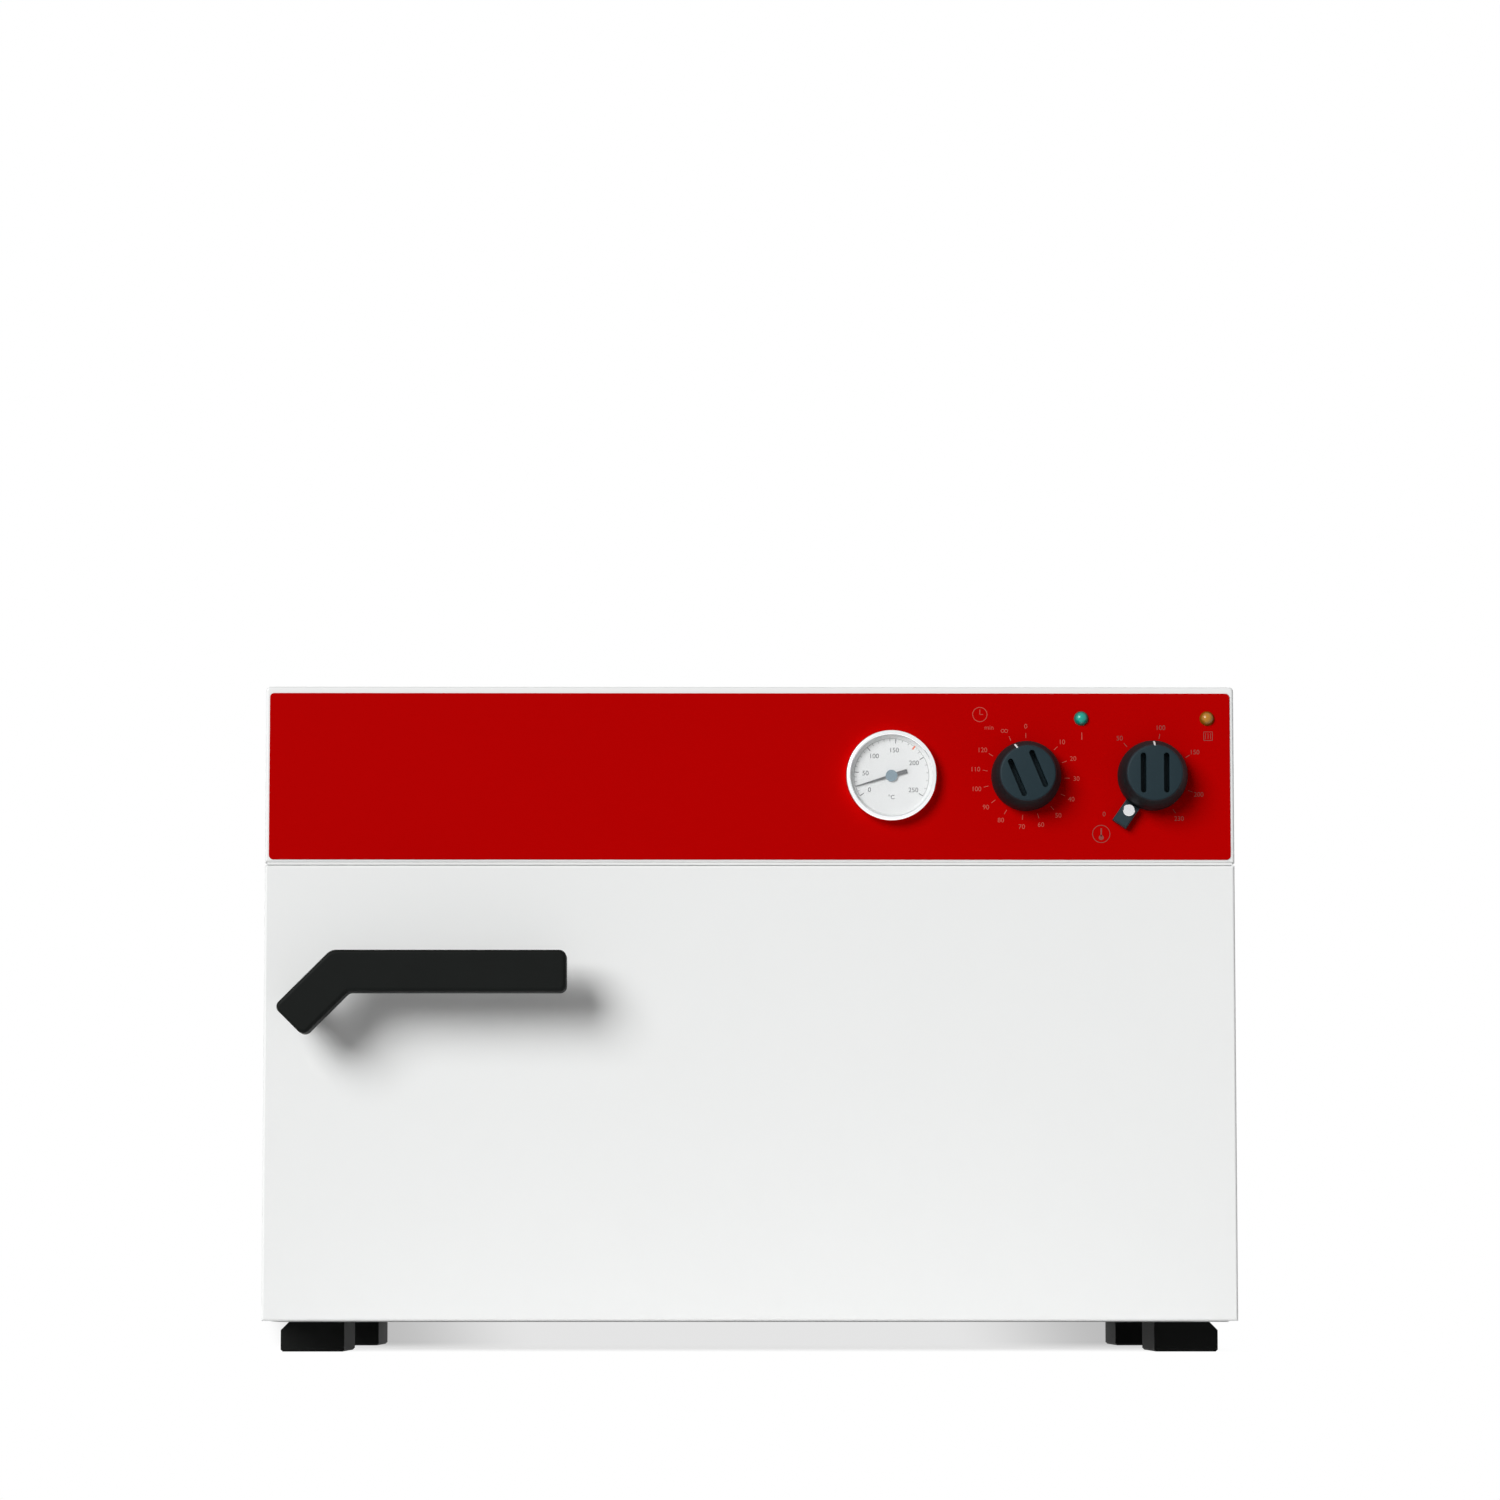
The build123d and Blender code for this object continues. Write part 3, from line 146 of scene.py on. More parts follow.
class Recipe:
    """A material or a world under construction, with one method that adds any node."""

    def __init__(self, owner: bpy.types.Material | bpy.types.World) -> None:
        """Empties the node tree.

        Args:
            owner: Material or world that the tree belongs to.
        """
        owner.use_nodes = True
        self.owner = owner
        self.tree = owner.node_tree
        self.tree.nodes.clear()

    def node(self, kind: str, settings: dict | None = None, inputs: dict | None = None,
             output: int | str = 0) -> Signal:
        """Adds a node.

        Args:
            kind: The node's type.
            settings: Properties set first; "stops" holds a ramp's places and colours.
            inputs: Values or signals by socket name or number.
            output: Name or number of the output to return.

        Returns:
            The chosen output as a signal.
        """
        made = self.tree.nodes.new(kind)
        for key, value in (settings or {}).items():
            if key == "stops":
                self._ramp(made.color_ramp, value)
            else:
                setattr(made, key, value)
        for key, value in (inputs or {}).items():
            if isinstance(value, Signal):
                self.tree.links.new(value.socket, made.inputs[key])
            else:
                made.inputs[key].default_value = value
        return Signal(self, made.outputs[output])

    @staticmethod
    def _ramp(ramp: bpy.types.ColorRamp, stops: list[tuple[float, Colour]]) -> None:
        """Sets a ramp's stops.

        Args:
            ramp: New ramp, which has two stops.
            stops: Place and colour of each stop, at least two.
        """
        while len(ramp.elements) < len(stops):
            ramp.elements.new(0.5)
        for element, (place, colour) in zip(ramp.elements, stops):
            element.position = place
            element.color = (*colour, 1.0)

    def place(self, scale: Triple = (1.0, 1.0, 1.0), centre: Triple = (0.0, 0.0, 0.0)) -> Signal:
        """Object coordinates, moved and then stretched.

        Args:
            scale: Factor along X, Y and Z.
            centre: Point that becomes the origin.

        Returns:
            The coordinates.
        """
        coordinates = self.node("ShaderNodeTexCoord", None, None, "Object")
        location = tuple(-c * k for c, k in zip(centre, scale))
        return self.node("ShaderNodeMapping", {"vector_type": "POINT"},
                         {"Vector": coordinates, "Location": location, "Scale": scale})

    def length(self, place: Signal) -> Signal:
        """Distance of coordinates from their origin."""
        return self.node("ShaderNodeVectorMath", {"operation": "LENGTH"}, {0: place}, "Value")

    def from_axis(self, centre: Triple) -> Signal:
        """Distance from the line along Y through a point."""
        return self.length(self.place((1.0, 0.0, 1.0), centre))

    def mix(self, factor: Signal, first: Colour, second: Colour) -> Signal:
        """Colour between the first, where the factor is 0, and the second, where it is 1."""
        inputs = {0: factor, 6: (*first, 1.0), 7: (*second, 1.0)}
        return self.node("ShaderNodeMix", {"data_type": "RGBA"}, inputs, 2)

    def bump(self, height: Signal, depth: float, strength: float) -> Signal:
        """Normal bent by a height whose value of 1 stands for a depth in metres."""
        return self.node("ShaderNodeBump", None,
                         {"Height": height, "Distance": depth, "Strength": strength})

    def ray(self, kind: str) -> Signal:
        """One for rays of a kind, else zero."""
        return self.node("ShaderNodeLightPath", None, None, f"Is {kind} Ray")

    def glow(self, colour: Colour | Signal, strength: Signal) -> Signal:
        """Emission shader of a colour."""
        tint = (*colour, 1.0) if isinstance(colour, tuple) else colour
        return self.node("ShaderNodeEmission", None, {"Color": tint, "Strength": strength})

    def end(self, shader: Signal) -> bpy.types.Material | bpy.types.World:
        """Ends the tree with its output node.

        Args:
            shader: Shader of the surface or background.

        Returns:
            The finished material or world.
        """
        kind = "World" if isinstance(self.owner, bpy.types.World) else "Material"
        output = self.tree.nodes.new(f"ShaderNodeOutput{kind}")
        self.tree.links.new(shader.socket, output.inputs["Surface"])
        return self.owner

    def surface(self, inputs: dict) -> bpy.types.Material:
        """Ends the material with a Principled shader that has these inputs."""
        return self.end(self.node("ShaderNodeBsdfPrincipled", None, inputs))


# Finishes

@dataclass(frozen=True)
class Pattern:
    """Noise or cells on a piece, in cycles per metre, with its share in a sum of patterns."""

    scale: float
    detail: float = 2.0
    share: float = 1.0
    rough: float = 0.5
    stretch: Triple = (1.0, 1.0, 1.0)
    cells: bool = False

    def signal(self, recipe: Recipe) -> Signal:
        """Adds the pattern's nodes.

        Args:
            recipe: Recipe that they are added to.

        Returns:
            The pattern times its share.
        """
        inputs = {"Vector": recipe.place(self.stretch), "Scale": self.scale}
        if self.cells:
            found = recipe.node("ShaderNodeTexVoronoi", {"feature": "F1"}, inputs, "Distance")
        else:
            inputs |= {"Detail": self.detail, "Roughness": self.rough}
            found = recipe.node("ShaderNodeTexNoise", {"noise_dimensions": "3D"}, inputs)
        return found if self.share == 1.0 else self.share * found


Weave = tuple[Pattern, ...]


def total(recipe: Recipe, patterns: Weave) -> Signal:
    """Sum of the patterns, each times its share."""
    return sum((each.signal(recipe) for each in patterns[1:]), patterns[0].signal(recipe))


MADE: dict["Finish", bpy.types.Material] = {}


@dataclass(frozen=True)
class Finish:
    """A finish by name; each kind of finish works out its own material."""

    name: str

    def material(self) -> bpy.types.Material:
        """The finish's material, made on first use.

        Returns:
            The material, the same one each time.
        """
        if self not in MADE:
            MADE[self] = self.make(Recipe(bpy.data.materials.new(self.name)))
        return MADE[self]

    def make(self, recipe: Recipe) -> bpy.types.Material:
        """Builds the material in an empty recipe."""
        raise NotImplementedError


@dataclass(frozen=True)
class Coat(Finish):
    """Opaque finish whose tone, gloss and relief each follow a sum of patterns.

    The colour is multiplied by one number and raised by another, both given by `low` where the
    tone is 0 and by `high` where it is 1. The gloss swings about the roughness by its shares.
    """

    colour: Colour = (0.5, 0.5, 0.5)
    roughness: float = 0.5
    low: Pair = (1.0, 0.0)
    high: Pair = (1.0, 0.0)
    tone: Weave = ()
    gloss: Weave = ()
    relief: Weave = ()
    depth: float = 0.0
    strength: float = 0.0
    specular: float = 0.5
    metallic: float = 0.0

    def make(self, recipe: Recipe) -> bpy.types.Material:
        """Builds the material.

        Args:
            recipe: Empty recipe.

        Returns:
            The material.
        """
        ends = [tuple(min(1.0, factor * c + lift) for c in self.colour)
                for factor, lift in (self.low, self.high)]
        swing = sum(pattern.share for pattern in self.gloss)
        inputs = {
            "Base Color": recipe.mix(total(recipe, self.tone), *ends),
            "Roughness": self.roughness - swing / 2 + total(recipe, self.gloss),
            "Specular IOR Level": self.specular,
            "Metallic": self.metallic,
        }
        if self.relief:
            height = total(recipe, self.relief)
            inputs["Normal"] = recipe.bump(height, self.depth, self.strength)
        return recipe.surface(inputs)


@dataclass(frozen=True)
class Enamel(Coat):
    """Powder-coated sheet: nearly even colour, an orange peel of 2 mm and a soft gloss."""

    colour: Colour = (0.84, 0.85, 0.845)
    roughness: float = 0.36
    low: Pair = (0.975, 0.0)
    tone: Weave = (Pattern(3.0, 1.0),)
    gloss: Weave = (Pattern(26.0, 3.0, 0.08),)
    relief: Weave = (Pattern(480.0, 1.0, 0.7), Pattern(2600.0, 1.0, 0.3))
    depth: float = 0.04 * MM
    strength: float = 0.5
    specular: float = 0.4


@dataclass(frozen=True)
class Foil(Coat):
    """Printed front foil: the ink drifts slightly and a fine matt grain breaks up the gloss."""

    colour: Colour = (0.456, 0.0, 0.0)
    low: Pair = (0.96, 0.0)
    tone: Weave = (Pattern(9.0),)
    gloss: Weave = (Pattern(3200.0, 1.0, 0.1),)
    relief: Weave = (Pattern(3200.0, 1.0),)
    depth: float = 0.01 * MM
    strength: float = 0.35
    specular: float = 0.01


@dataclass(frozen=True)
class Ink(Coat):
    """Screen-printed ink whose cover varies over a few tenths of a millimetre."""

    roughness: float = 0.6
    high: Pair = (1.12, 0.004)
    tone: Weave = (Pattern(4200.0),)
    gloss: Weave = (Pattern(4200.0, share=0.1),)
    specular: float = 0.15


@dataclass(frozen=True)
class Moulding(Coat):
    """Moulded plastic with a spark-eroded grain and faint wear."""

    high: Pair = (1.25, 0.001)
    tone: Weave = (Pattern(40.0, 3.0),)
    gloss: Weave = (Pattern(1500.0, share=0.12),)
    relief: Weave = (Pattern(1500.0, share=0.6), Pattern(5200.0, 1.0, 0.4))
    depth: float = 0.012 * MM
    strength: float = 0.6
    specular: float = 0.3


@dataclass(frozen=True)
class KnobWithPaintedShade(Finish):
    """Slate knob whose side is painted darker than its face, as painted shade; a fine grain covers
    both.
    """

    centre: Triple = (0.0, 0.0, 0.0)
    colour: Colour = (0.013, 0.027, 0.034)
    # Painted shade: the side's colour is darker than the face's.
    side: Colour = (0.0035, 0.0075, 0.0085)
    face: float = 16.2 * MM
    blend: float = 1.2 * MM

    def make(self, recipe: Recipe) -> bpy.types.Material:
        """The distance from the axis tells face from side, and the side gets a darker colour as
        painted shade; a fine grain covers both.

        Args:
            recipe: Empty recipe.

        Returns:
            The material.
        """
        # Painted shade: the colour darkens beyond the face's radius.
        rim = recipe.from_axis(self.centre).fade(self.face, self.face + self.blend)
        grain = Pattern(2400.0).signal(recipe)
        return recipe.surface({
            "Base Color": recipe.mix(rim, self.colour, self.side),
            "Roughness": 0.5 + 0.12 * (grain - 0.5),
            "Specular IOR Level": 0.12,
            "Normal": recipe.bump(grain, 0.01 * MM, 0.6),
        })


@dataclass(frozen=True)
class BrushedSteel(Finish):
    """Stainless sheet with brushing streaks along one direction."""

    grain: Grain = Grain.ALONG_X

    def make(self, recipe: Recipe) -> bpy.types.Material:
        """Noise drawn out along the grain varies gloss and relief; handling dulls patches.

        Args:
            recipe: Empty recipe.

        Returns:
            The material.
        """
        streaks = Pattern(30.0, 4.0, rough=0.6, stretch=self.grain.value)
        gloss = (replace(streaks, share=0.16), Pattern(7.0, 3.0, 0.1))
        coat = Coat(self.name, (0.60, 0.60, 0.59), 0.3, (0.86, 0.0), tone=(streaks,), gloss=gloss,
                    relief=(streaks,), depth=0.03 * MM, strength=0.4, metallic=1.0)
        return coat.make(recipe)


@dataclass(frozen=True)
class Zinc(Coat):
    """Zinc-plated steel whose cells of a few millimetres differ in brightness and gloss."""

    colour: Colour = (0.56, 0.57, 0.58)
    roughness: float = 0.34
    low: Pair = (0.8, 0.0)
    tone: Weave = (Pattern(180.0, share=0.6, cells=True), Pattern(60.0, 3.0, 0.4))
    gloss: Weave = (Pattern(60.0, 3.0, 0.18),)
    relief: Weave = (Pattern(180.0, cells=True),)
    depth: float = 0.01 * MM
    strength: float = 0.3
    metallic: float = 1.0


@dataclass(frozen=True)
class Polish(Coat):
    """Polished or plated metal with a fine haze in its gloss."""

    low: Pair = (0.92, 0.0)
    tone: Weave = (Pattern(700.0, 3.0),)
    gloss: Weave = (Pattern(700.0, 3.0, 0.06),)
    metallic: float = 1.0


@dataclass(frozen=True)
class HeatTint(Finish):
    """Heater tube, dulled and tinted by heat."""

    def make(self, recipe: Recipe) -> bpy.types.Material:
        """Straw, brown and blue bands wander along the tube.

        Args:
            recipe: Empty recipe.

        Returns:
            The material.
        """
        cloud = Pattern(14.0, 3.0).signal(recipe)
        stops = [(0.3, (0.10, 0.085, 0.08)), (0.5, (0.17, 0.12, 0.09)), (0.7, (0.09, 0.10, 0.13))]
        return recipe.surface({
            "Base Color": recipe.node("ShaderNodeValToRGB", {"stops": stops}, {"Fac": cloud}),
            "Metallic": 0.8,
            "Roughness": 0.45 + 0.2 * (cloud - 0.5),
        })


@dataclass(frozen=True)
class DialPaint(Coat):
    """Nearly even matt white of a dial, with a faint grain."""

    colour: Colour = (0.85, 0.86, 0.86)
    low: Pair = (1.0, -0.05)
    tone: Weave = (Pattern(2400.0),)
    gloss: Weave = (Pattern(2400.0, share=0.1),)
    specular: float = 0.3


@dataclass(frozen=True)
class PointerPaint(Finish):
    """Dark pointer whose hub is blue-grey, told apart by the distance from the spindle."""

    centre: Triple = (0.0, 0.0, 0.0)
    hub: float = 3.6 * MM

    def make(self, recipe: Recipe) -> bpy.types.Material:
        """The hub's colour fills the circle around the spindle.

        Args:
            recipe: Empty recipe.

        Returns:
            The material.
        """
        on_hub = recipe.from_axis(self.centre).below(self.hub)
        return recipe.surface({
            "Base Color": recipe.mix(on_hub, (0.03, 0.035, 0.04), (0.13, 0.22, 0.28)),
            "Roughness": 0.4 + 0.1 * Pattern(900.0).signal(recipe),
        })


@dataclass(frozen=True)
class Window(Finish):
    """Clear gauge glass, thin enough that it only adds its gloss."""

    def make(self, recipe: Recipe) -> bpy.types.Material:
        """Mostly see-through, with a faint haze.

        Args:
            recipe: Empty recipe.

        Returns:
            The material.
        """
        haze = Pattern(120.0).signal(recipe)
        return recipe.surface({
            "Base Color": (0.95, 0.97, 0.97, 1.0),
            "Roughness": 0.03 + 0.04 * haze,
            "Alpha": 0.07 + 0.02 * haze,
        })


@dataclass(frozen=True)
class LampLens(Finish):
    """Tinted, glossy lamp lens, darkened towards its rim by painted shade."""

    colour: Colour
    centre: Triple
    radius: float
    rim: float = 0.35

    def make(self, recipe: Recipe) -> bpy.types.Material:
        """From a share of the radius on, the tint darkens smoothly to the same share of itself, as
        painted shade.

        Args:
            recipe: Empty recipe.

        Returns:
            The material.
        """
        # Painted shade: the lens darkens towards its rim.
        edge = recipe.from_axis(self.centre).fade(self.rim * self.radius, self.radius)
        haze = Pattern(900.0).signal(recipe)
        return recipe.surface({
            "Base Color": recipe.mix(edge, self.colour, tuple(self.rim * c for c in self.colour)),
            "Roughness": 0.12 + 0.06 * haze,
            "Specular IOR Level": 0.3,
            "Coat Weight": 0.1 + 0.1 * haze,
        })


@dataclass(frozen=True)
class Silicone(Coat):
    """Cast silicone whose skin is lightened by dust in soft patches."""

    colour: Colour = (0.34, 0.085, 0.05)
    roughness: float = 0.6
    high: Pair = (0.85, 0.06)
    tone: Weave = (Pattern(60.0, 4.0),)
    gloss: Weave = (Pattern(60.0, 4.0, 0.15),)
    relief: Weave = (Pattern(1800.0),)
    depth: float = 0.03 * MM
    strength: float = 0.5
    specular: float = 0.35


@dataclass(frozen=True)
class Wool(Finish):
    """Mineral wool: matted fibres."""

    def make(self, recipe: Recipe) -> bpy.types.Material:
        """Long and short fibres from two noises, of which one is drawn out along X.

        Args:
            recipe: Empty recipe.

        Returns:
            The material.
        """
        long = Pattern(8.0, 5.0, rough=0.7, stretch=(40.0, 220.0, 220.0)).signal(recipe)
        short = Pattern(900.0, 4.0, rough=0.7).signal(recipe)
        height = 0.6 * long + 0.4 * short
        return recipe.surface({
            "Base Color": recipe.mix(height, (0.42, 0.36, 0.20), (0.62, 0.56, 0.38)),
            "Roughness": 0.9 + 0.1 * (short - 0.5),
            "Normal": recipe.bump(height, 1.0 * MM, 0.7),
        })


ENAMEL = Enamel("enamel_white")
FRAME_ENAMEL = Enamel("enamel_grey", (0.66, 0.67, 0.665), 0.42)
FOIL = Foil("foil_print")
BLACK = Moulding("handle_black", (0.0055, 0.0065, 0.006), specular=0.06)
FOOT_BLACK = Moulding("foot_black", (0.005, 0.0055, 0.0052), 0.62, depth=0.02 * MM, specular=0.06)
KNOB = Moulding("knob_slate", (0.013, 0.026, 0.032), 0.45, depth=0.008 * MM, specular=0.18)
NATURAL = Moulding("natural_moulding", (0.62, 0.61, 0.56), 0.4, depth=0.006 * MM, specular=0.4)
TERMINAL = Moulding("terminal_moulding", (0.70, 0.66, 0.52), depth=0.01 * MM)
STAINLESS = BrushedSteel("stainless_across")
STAINLESS_DEEP = BrushedSteel("stainless_lengthwise", Grain.ALONG_Y)
ZINC = Zinc("zinc_plate")
CHROME = Polish("chrome_polish", (0.88, 0.89, 0.90), 0.16)
NICKEL = Polish("stop_screw_nickel", (0.72, 0.73, 0.74), 0.22)
WIRE = Polish("wire_polish", (0.66, 0.67, 0.67), 0.2)
BRASS = Polish("brass_polish", (0.62, 0.44, 0.20), 0.3)
HEATER = HeatTint("tube_tint")
DIAL = DialPaint("dial_paint")
GLASS = Window("gauge_glass")
SILICONE = Silicone("door_silicone")
WOOL = Wool("wool_fibre")
INK_TIMER = Ink("ink_timer", (0.45, 0.075, 0.055))
INK_TEMPERATURE = Ink("ink_temperature", (0.24, 0.055, 0.045))
INK_BLACK = Ink("ink_black", (0.035, 0.04, 0.045))
INK_ORANGE = Ink("ink_orange", (0.80, 0.12, 0.03))
INK_WHITE = Ink("ink_white", (0.80, 0.81, 0.80))


# Shapes

def add(name: str, data: bpy.types.ID) -> bpy.types.Object:
    """Adds an object to the scene.

    Args:
        name: Name of the object.
        data: Its mesh, curve, lamp or camera.

    Returns:
        The object.
    """
    made = bpy.data.objects.new(name, data)
    bpy.context.scene.collection.objects.link(made)
    return made


@dataclass
class Shell:
    """Points and faces of one piece, before they become a mesh."""

    points: np.ndarray
    faces: list[list[int]]

    def __add__(self, other: "Shell") -> "Shell":
        """Both shells as one."""
        moved = [[index + len(self.points) for index in face] for face in other.faces]
        return Shell(np.vstack([self.points, other.points]), self.faces + moved)

    def outward(self) -> "Shell":
        """The closed shell with its faces turned outwards.

        The signed volume is a sixth of the sum, over the triangles of each face, of the product of
        its three corners; where it is negative the faces are reversed.

        Returns:
            The shell, reversed if it was inside out.
        """
        fans = [(f[0], f[i], f[i + 1]) for f in self.faces for i in range(1, len(f) - 1)]
        a, b, c = self.points[np.array(fans)].transpose(1, 0, 2)
        volume = np.einsum("ij,ij->i", a, np.cross(b, c)).sum() / 6
        return self if volume > 0 else Shell(self.points, [face[::-1] for face in self.faces])

    def towards_front(self) -> "Shell":
        """The flat shell with every face turned towards -Y, by the sign of its area in X and Z.

        Returns:
            The shell with its faces turned.
        """
        faces = []
        for face in self.faces:
            corners = self.points[face][:, (0, 2)]
            following = np.roll(corners, -1, 0)
            area = (corners[:, 0] * following[:, 1] - following[:, 0] * corners[:, 1]).sum()
            faces.append(face if area > 0 else face[::-1])
        return Shell(self.points, faces)

    def mesh(self, name: str) -> bpy.types.Mesh:
        """Makes the shell a mesh.

        Args:
            name: Name of the mesh.

        Returns:
            The mesh.
        """
        mesh = bpy.data.meshes.new(name)
        mesh.from_pydata(self.points.tolist(), [], self.faces)
        return mesh

    def piece(self, name: str, finish: Finish, body: Body, slot: str,
              nodes: tuple[str, ...] = (), crease: float = 35.0) -> None:
        """Makes the mesh object, dresses it and puts it on its body.

        Args:
            name: Name of the object.
            finish: Its finish.
            body: Body that it rides on.
            slot: Material slot of the record; not used.
            nodes: CAD nodes that it stands for.
            crease: Angle in degrees above which an edge stays sharp.
        """
        mesh = self.mesh(name)
        mesh.validate()
        mesh.shade_smooth()
        mesh.set_sharp_from_angle(angle=math.radians(crease))
        mesh.materials.append(finish.material())
        made = add(name, mesh)
        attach(made, body.value)
        if nodes:
            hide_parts(*nodes)
        LOG.info("%s: %d faces on %s", name, len(self.faces), body.value)


@dataclass(frozen=True)
class Round:
    """Place and size of a round CAD node whose axis lies along Y."""

    x: float
    z: float
    radius: float
    front: float
    back: float

    @classmethod
    def of(cls, node: str) -> "Round":
        """Measures a node's box.

        Args:
            node: Name of the CAD node.

        Returns:
            Its place and size.
        """
        low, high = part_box(node)
        x, z = (low.x + high.x) / 2, (low.z + high.z) / 2
        return cls(x, z, (high.x - low.x) / 2, low.y, high.y)


def quilt(points: np.ndarray, wrap_rows: bool = False, wrap_columns: bool = False) -> Shell:
    """Surface over a grid of points; each face joins a grid cell's four corners.

    Args:
        points: Array of rows by columns by three.
        wrap_rows: Whether the last row joins the first.
        wrap_columns: Whether the last column joins the first.

    Returns:
        The shell.
    """
    rows, columns = points.shape[:2]
    row = np.arange(rows if wrap_rows else rows - 1)[:, None]
    column = np.arange(columns if wrap_columns else columns - 1)[None, :]
    below, beside = (row + 1) % rows, (column + 1) % columns
    corners = [row * columns + column, row * columns + beside,
               below * columns + beside, below * columns + column]
    cells = [np.broadcast_to(corner, (row.size, column.size)) for corner in corners]
    return Shell(points.reshape(-1, 3), np.stack(cells, -1).reshape(-1, 4).tolist())


def lofted(rings: np.ndarray) -> Shell:
    """Closed solid over a row of rings; a face closes the first and the last ring.

    Args:
        rings: Array of rings by points by three.

    Returns:
        The shell, faces outwards.
    """
    count, sides = rings.shape[:2]
    first, last = list(range(sides)), list(range((count - 1) * sides, count * sides))
    shell = quilt(rings, wrap_columns=True)
    return Shell(shell.points, shell.faces + [first, last[::-1]]).outward()


def upright(outline: np.ndarray, y: float) -> np.ndarray:
    """Points of an outline in X and Z, all at one Y."""
    return np.column_stack([outline[:, 0], np.full(len(outline), y), outline[:, 1]])


def quarter(steps: int) -> np.ndarray:
    """Rows of 1 - sin t and 1 - cos t over a quarter turn, for an edge of radius 1."""
    turn = np.linspace(0, math.pi / 2, steps)
    return np.column_stack([1 - np.sin(turn), 1 - np.cos(turn)])


def turned(profile: np.ndarray, x: float, z: float, sides: int, hollow: bool = False) -> Shell:
    """Closed solid of revolution about a line along Y through x and z.

    A profile point (r, y) at turn t lies at (x + r sin t, y, z + r cos t). A solid profile starts
    and ends near the axis, where faces close it; a hollow one joins its last point to its first.

    Args:
        profile: Rows of radius and Y.
        x: Axis in X.
        z: Axis in Z.
        sides: Number of sides around.
        hollow: Whether the profile keeps clear of the axis.

    Returns:
        The shell, faces outwards.
    """
    turn = np.linspace(0.0, 2 * math.pi, sides, endpoint=False)[None, :]
    radius, depth = profile[:, :1], profile[:, 1:2]
    rings = np.stack([x + radius * np.sin(turn), depth + 0 * turn, z + radius * np.cos(turn)], -1)
    return quilt(rings, True, True).outward() if hollow else lofted(rings)


def rounded(corners: list[Triple], steps: int = 6, closed: bool = False) -> np.ndarray:
    """Outline whose corners are arcs.

    At a corner with radius r whose sides meet at 2h, the arc touches both sides at r / tan h from
    the corner, and its points lie at r from the centre, on the bisector at r / sin h.

    Args:
        corners: First and second coordinate and radius of each corner.
        steps: Number of spans in each arc.
        closed: Whether the last corner joins the first.

    Returns:
        Rows of the two coordinates.
    """
    places = np.array([c[:2] for c in corners])
    count = len(corners)
    outline = []
    for index, (_, _, radius) in enumerate(corners):
        here = places[index]
        if radius <= 0 or (not closed and index in (0, count - 1)):
            outline.append(here[None, :])
            continue
        before = places[index - 1] - here
        after = places[(index + 1) % count] - here
        before, after = before / np.hypot(*before), after / np.hypot(*after)
        half = math.acos(float(np.clip(before @ after, -1, 1))) / 2
        bisector = (before + after) / np.hypot(*(before + after))
        centre = here + bisector * radius / math.sin(half)
        start = here + before * radius / math.tan(half) - centre
        end = here + after * radius / math.tan(half) - centre
        angle = math.acos(float(np.clip(start @ end / radius ** 2, -1, 1)))
        share = np.linspace(0, 1, steps + 1)[:, None]
        weights = np.sin((1 - share) * angle), np.sin(share * angle)
        outline.append(centre + (weights[0] * start + weights[1] * end) / math.sin(angle))
    return np.vstack(outline)


def tube(path: np.ndarray, radius: float, sides: int, closed: bool = False) -> Shell:
    """Round wire along a path of points.

    At each point the section is a circle square to the run, p + r (cos t a + sin t b), where a
    and b are square to the run and a stays as near to upright as it can.

    Args:
        path: Rows of X, Y, Z.
        radius: Radius of the wire.
        sides: Number of sides around.
        closed: Whether the path joins itself.

    Returns:
        The shell, faces outwards.
    """
    run = np.roll(path, -1, 0) - np.roll(path, 1, 0) if closed else np.gradient(path, axis=0)
    run /= np.linalg.norm(run, axis=1, keepdims=True)
    steep = np.abs(run[:, 2:]) > STEEP
    across = np.cross(np.where(steep, [[1.0, 0.0, 0.0]], [[0.0, 0.0, 1.0]]), run)
    across /= np.linalg.norm(across, axis=1, keepdims=True)
    turn = np.linspace(0, 2 * math.pi, sides, endpoint=False)[None, :, None]
    circle = np.cos(turn) * np.cross(run, across)[:, None] + np.sin(turn) * across[:, None]
    rings = path[:, None, :] + radius * circle
    return quilt(rings, True, True).outward() if closed else lofted(rings)


def on_dial(x: float, z: float, radius: float, angle: float) -> Place:
    """X and Z of a point at a clockwise angle in degrees from the top of a dial."""
    turn = math.radians(angle)
    return x + radius * math.sin(turn), z + radius * math.cos(turn)


def read_back(made: bpy.types.Object) -> Shell:
    """Shell of a text's outline, or of a mesh with its modifiers applied.

    Args:
        made: Object that is read.

    Returns:
        The shell.
    """
    graph = bpy.context.evaluated_depsgraph_get()
    mesh = bpy.data.meshes.new_from_object(made.evaluated_get(graph))
    points = np.empty(3 * len(mesh.vertices), dtype=np.float32)
    mesh.vertices.foreach_get("co", points)
    faces = [list(polygon.vertices) for polygon in mesh.polygons]
    return Shell(points.reshape(-1, 3).astype(float), faces)


def cut(shell: Shell, cutters: list[Shell]) -> Shell:
    """The shell less the cutters, by Blender's exact Boolean.

    Args:
        shell: Closed shell.
        cutters: Closed shells that are cut away.

    Returns:
        The remaining shell.
    """
    objects = [add("cut", item.mesh("cut")) for item in (shell, *cutters)]
    for cutter in objects[1:]:
        modifier = objects[0].modifiers.new("cut", "BOOLEAN")
        modifier.operation = "DIFFERENCE"
        modifier.solver = "EXACT"
        modifier.object = cutter
    rest = read_back(objects[0])
    for made in objects:
        bpy.data.objects.remove(made)
    return rest


# Print

